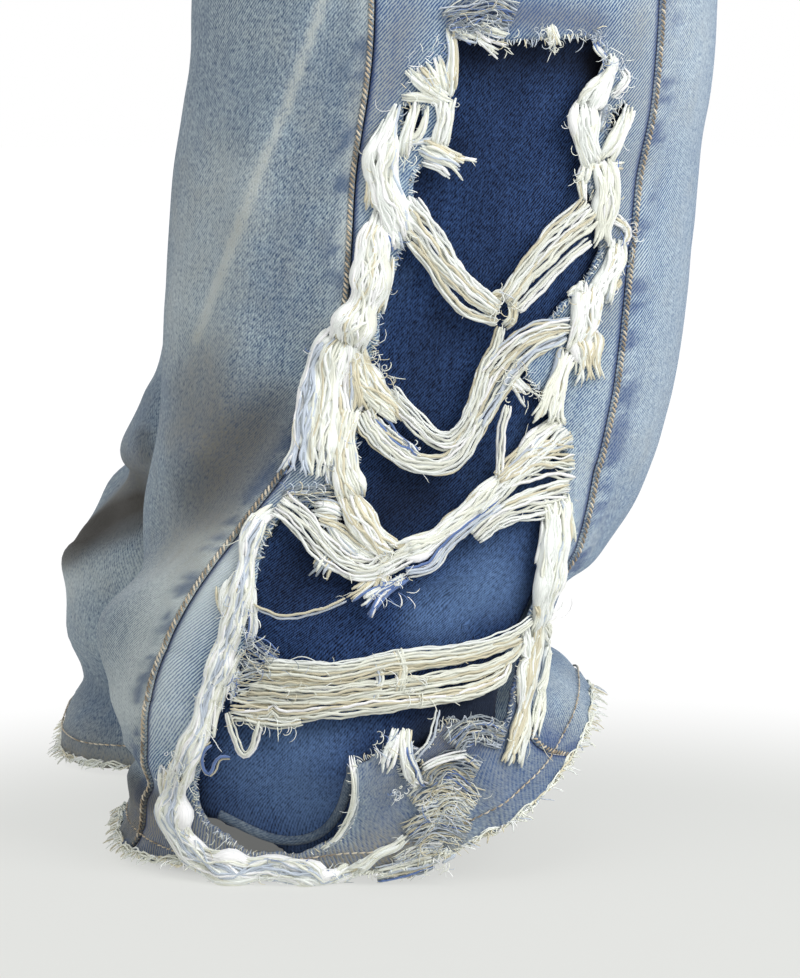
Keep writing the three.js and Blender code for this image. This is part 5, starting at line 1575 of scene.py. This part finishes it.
# Stitching: short slanted stitches in rows
THREAD = np.array([linear(202, 184, 156), linear(222, 210, 188), linear(150, 136, 116)])[:, :3]
CHAIN = {"pitch": 2.2, "length": 3.1, "slant": 0.9, "radius": 0.45}
# Points of a stitch: share of its length ahead, and share of its lift
STITCH = ((-0.5, -1), (-0.2, 1), (0.2, 1), (0.5, -1))
RIP_SIDE, SEAM_OUT, HEM_OUT = -110, 1.1, 1.2


def stitch_row(yarns, points, normals, pitch=3.3, length=3.0, radius=0.36, slant=0.3, lift=0.3):
    """Stitches along a line, left out where the cloth is torn."""
    s = travel(points)
    place = np.arange(pitch / 2, s[-1], pitch)
    centre = read_along(place, s, points)
    out = unit(read_along(place, s, normals))
    ahead = unit(read_along(place + 0.5, s, points) - read_along(place - 0.5, s, points))
    ahead = unit(ahead + slant * np.cross(out, ahead))
    whole = (centre[:, 0] > RIP_SIDE) | (rip_depth(*seen(centre).T) < 0)
    centre, out, ahead = centre[whole], out[whole], ahead[whole]
    lines = [centre + ahead * length * along + out * lift * rise for along, rise in STITCH]
    picked = THREAD[rng.choice(3, len(centre))] * rng.uniform(0.85, 1.1, (len(centre), 1))
    yarns.add(np.stack(lines, 1), radius, picked)


def leg_row(yarns, leg, angle, t, out, **settings):
    stitch_row(yarns, leg.at(angle, t, np.full(len(t), out)), leg.slope(leg.surface, angle, t), **settings)


def seam_row(yarns, leg, panel, last, inset, span, **settings):
    """Stitches along one edge of a panel."""
    t = np.linspace(*span, 500)
    angle = leg.edges(panel, t)[last]
    step = leg.surface(angle + STEP, t) - leg.surface(angle - STEP, t)
    stretch = np.linalg.norm(step, axis=-1) / (2 * STEP)
    angle = angle + (-1 if last else 1) * inset / np.maximum(stretch, 15)
    leg_row(yarns, leg, angle, t, SEAM_OUT, **settings)


def hem_row(yarns, leg, inset):
    """Stitches at one distance from the hem, all round the leg."""
    angle = np.radians(np.linspace(-88, 268, 700))
    t = np.linspace(HEM, HEM - 0.9, 24)
    points = leg.surface(angle, t[:, None])
    length = np.cumsum(np.linalg.norm(np.diff(points, axis=0, prepend=points[:1]), axis=-1), 0)
    row = np.array([np.interp(inset, column, t) for column in length.T])
    leg_row(yarns, leg, angle, row, HEM_OUT, slant=0.1)


def pocket_mouth_row(yarns, leg, inset):
    """Stitches below the front pocket's mouth."""
    turn = np.linspace(0.04, math.pi / 2 - 0.04, 120)
    share = 1 - (MOUTH_WIDTH + inset / 150) * np.cos(turn) ** (2 / MOUTH_POWER)
    t = (MOUTH_DEPTH + inset / 75) * np.sin(turn) ** (2 / MOUTH_POWER)
    leg_row(yarns, leg, mix(*leg.edges("front", t), share), t, 0.25)


def outline_row(yarns, leg, place, corners, out):
    """Stitches along straight lines between corners on a pocket or the fly."""
    corners = np.array(corners, float)
    even = np.linspace(0, 1, 40)[:, None]
    shares = np.concatenate([mix(a, b, even) for a, b in zip(corners[:-1], corners[1:])])
    leg_row(yarns, leg, *place(leg, shares[:, 0], shares[:, 1]), out)


for leg, side in LEGS:
    stitches = Yarns()
    seam_row(stitches, leg, "back", 0, 1.3, (YOKE_SIDE, HEM - 0.05), **CHAIN)
    seam_row(stitches, leg, "front", 1, 1.3, (MOUTH_DEPTH, HEM - 0.05), **CHAIN)
    seam_row(stitches, leg, "back", 1, 2.6, (YOKE_MIDDLE, HEM - 0.05))
    seam_row(stitches, leg, "front", 0, 2.6, (FLY_LENGTH, CROTCH))
    hem_row(stitches, leg, CUFF_WIDTH - 2.5)
    share = np.linspace(0.02, 0.98, 120)
    for below in (0.05, 0.12):
        t = yoke_edge(share) + below
        leg_row(stitches, leg, mix(*leg.edges("back", t), share), t, 0.4)
    for inset in (3.0, 9.0):
        pocket_mouth_row(stitches, leg, inset)
    for inset in (0.03, 0.09):
        far = 1 - inset
        corners = [(inset, 0.02), (inset, far), (0.5, far), (far, far), (far, 0.02)]
        outline_row(stitches, leg, pocket_place, corners, POCKET_OUT + 0.7)
    outline_row(stitches, leg, pocket_place, [(0.03, 0.1), (0.97, 0.1)], POCKET_OUT + 0.7)
    if leg is LEFT:
        for far in (0.92, 0.8):
            outline_row(stitches, leg, fly_place, [(far, 0.01), (far, 0.97)], FLY_OUT + 0.5)
    stitches.build(f"stitches_{side}", leg.mirror)
stitches = Yarns()
turn = np.linspace(BAND_TURNS[0] + 1, BAND_TURNS[1] - 1, 700)
for height in (BAND_FOOT + 3.5, BAND_TOP - 3.5):
    level, surface = np.full(len(turn), height), np.full(len(turn), BAND_OUT)
    points = band_place(turn, level, surface)
    stitch_row(stitches, points, band_place(turn, level, surface + 1) - points)
for foot, out, aside, up in loop_places:
    for rise in (1.6, LOOP_TALL - 1.6):
        tack = foot + up * rise + out * 2.4 + np.linspace(-4.6, 4.6, 30)[:, None] * aside
        stitch_row(stitches, tack, np.broadcast_to(out, tack.shape), pitch=0.8, length=2.6, slant=6.0)
    for shift in (-3.9, 3.9):
        row = foot + out * 3.4 + aside * shift + np.linspace(6, LOOP_TALL - 6, 60)[:, None] * up
        stitch_row(stitches, row, np.broadcast_to(out, row.shape))
stitches.build("stitches_waist")

# The button keeps its solid
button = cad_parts["waist_button"]
button.data.materials.clear()
button.data.materials.append(brass_material())

# Camera at the photograph's angle
camera = bpy.data.cameras.new("camera")
camera.lens = camera.sensor_width * CAMERA_DISTANCE / FRAME_HEIGHT
camera_object = bpy.data.objects.new("camera", camera)
camera_object.location = CAMERA_PLACE
camera_object.rotation_euler = TOWARD_CAMERA.to_track_quat("Z", "Y").to_euler()
bpy.context.scene.collection.objects.link(camera_object)
bpy.context.scene.camera = camera_object

# Floor that fades to the white of the studio, with a painted shadow under the legs
FLOOR_HALF = 6.0
FLOOR_COLOR, FLOOR_GLOW = linear(224, 225, 222), 0.82
FADE_CENTRE, FADE = (-0.25, 0.0), (0.24, 0.52)
# Under each leg the floor glows less: a painted shadow inside the leg and round its edge
LEG_CENTRE, LEG_HALF, LEG_EDGE, LEG_SHADOW_GLOW = (0.105, 0.065), (0.078, 0.07), (0.7, 1.15), 0.22
floor_z = -WAIST_HEIGHT * MM
floor_mesh = bpy.data.meshes.new("floor")
corners = [(-1, -1), (1, -1), (1, 1), (-1, 1)]
floor_mesh.from_pydata([(x * FLOOR_HALF, y * FLOOR_HALF, floor_z) for x, y in corners], [], [(0, 1, 2, 3)])
floor = bpy.data.objects.new("floor", floor_mesh)
bpy.context.scene.collection.objects.link(floor)
n = Nodes("floor")
place = n.add("ShaderNodeTexCoord").outputs["Object"]


def floor_reach(x, y, half_x=1.0, half_y=1.0):
    """Distance from a place on the floor, in half widths and half depths."""
    spot = n.add("ShaderNodeVectorMath", place, (x, y, floor_z), operation="SUBTRACT").outputs[0]
    spot = n.scaled(spot, (1 / half_x, 1 / half_y, 0))
    return n.add("ShaderNodeVectorMath", spot, operation="LENGTH").outputs["Value"]


fade = n.ramp(floor_reach(*FADE_CENTRE), *FADE, 0.0, 1.0)
unshadowed_floor = 1.0
# Painted shadow: each leg dims the floor's glow
for side in (-1, 1):
    reach = floor_reach(side * LEG_CENTRE[0], LEG_CENTRE[1], *LEG_HALF)
    unshadowed_floor = n.math("MULTIPLY", n.ramp(reach, *LEG_EDGE, LEG_SHADOW_GLOW, 1.0), unshadowed_floor)
glow = n.math("MULTIPLY_ADD", fade, 1 - FLOOR_GLOW, FLOOR_GLOW)
n.set(n.shader.inputs["Emission Color"], n.blend(fade, FLOOR_COLOR, (1.0, 1.0, 1.0, 1.0)))
n.set(n.shader.inputs["Emission Strength"], n.math("MULTIPLY", glow, unshadowed_floor))
shade = tuple(value * (1 - FLOOR_GLOW) for value in FLOOR_COLOR[:3]) + (1.0,)
floor_mesh.materials.append(n.finish(n.blend(fade, shade, (0.0, 0.0, 0.0, 1.0)), 0.95, 0.0))

# Light: a soft surround, white behind the object, a large soft light from the picture's right and one above
SURROUND, BACKDROP, BACKDROP_EDGE = 0.42, 1.0, (0.55, 0.85)
world = bpy.data.worlds.new("studio")
world.use_nodes = True
tree = world.node_tree
facing = tree.nodes.new("ShaderNodeSeparateXYZ")
tree.links.new(tree.nodes.new("ShaderNodeTexCoord").outputs["Generated"], facing.inputs[0])
glow = tree.nodes.new("ShaderNodeMapRange")
for socket, value in zip(glow.inputs[1:5], (*BACKDROP_EDGE, SURROUND, BACKDROP)):
    socket.default_value = value
tree.links.new(facing.outputs[0], glow.inputs[0])
tree.nodes["Background"].inputs["Color"].default_value = (1, 1, 1, 1)
tree.links.new(glow.outputs[0], tree.nodes["Background"].inputs["Strength"])
bpy.context.scene.world = world
# Name, place, size and power of each light
LIGHTS = [
    ("key", (-1.5, -1.5, 0.5), 1.4, 42),
    ("top", (-0.9, 0.3, 1.2), 1.6, 18),
]
for name, place, size, power in LIGHTS:
    light = bpy.data.lights.new(name, "AREA")
    light.size = size
    light.energy = power
    lamp = bpy.data.objects.new(name, light)
    lamp.location = place
    lamp.rotation_euler = (Vector(place) - CAMERA_TARGET).to_track_quat("Z", "Y").to_euler()
    bpy.context.scene.collection.objects.link(lamp)
bpy.context.scene.view_settings.view_transform = "Standard"
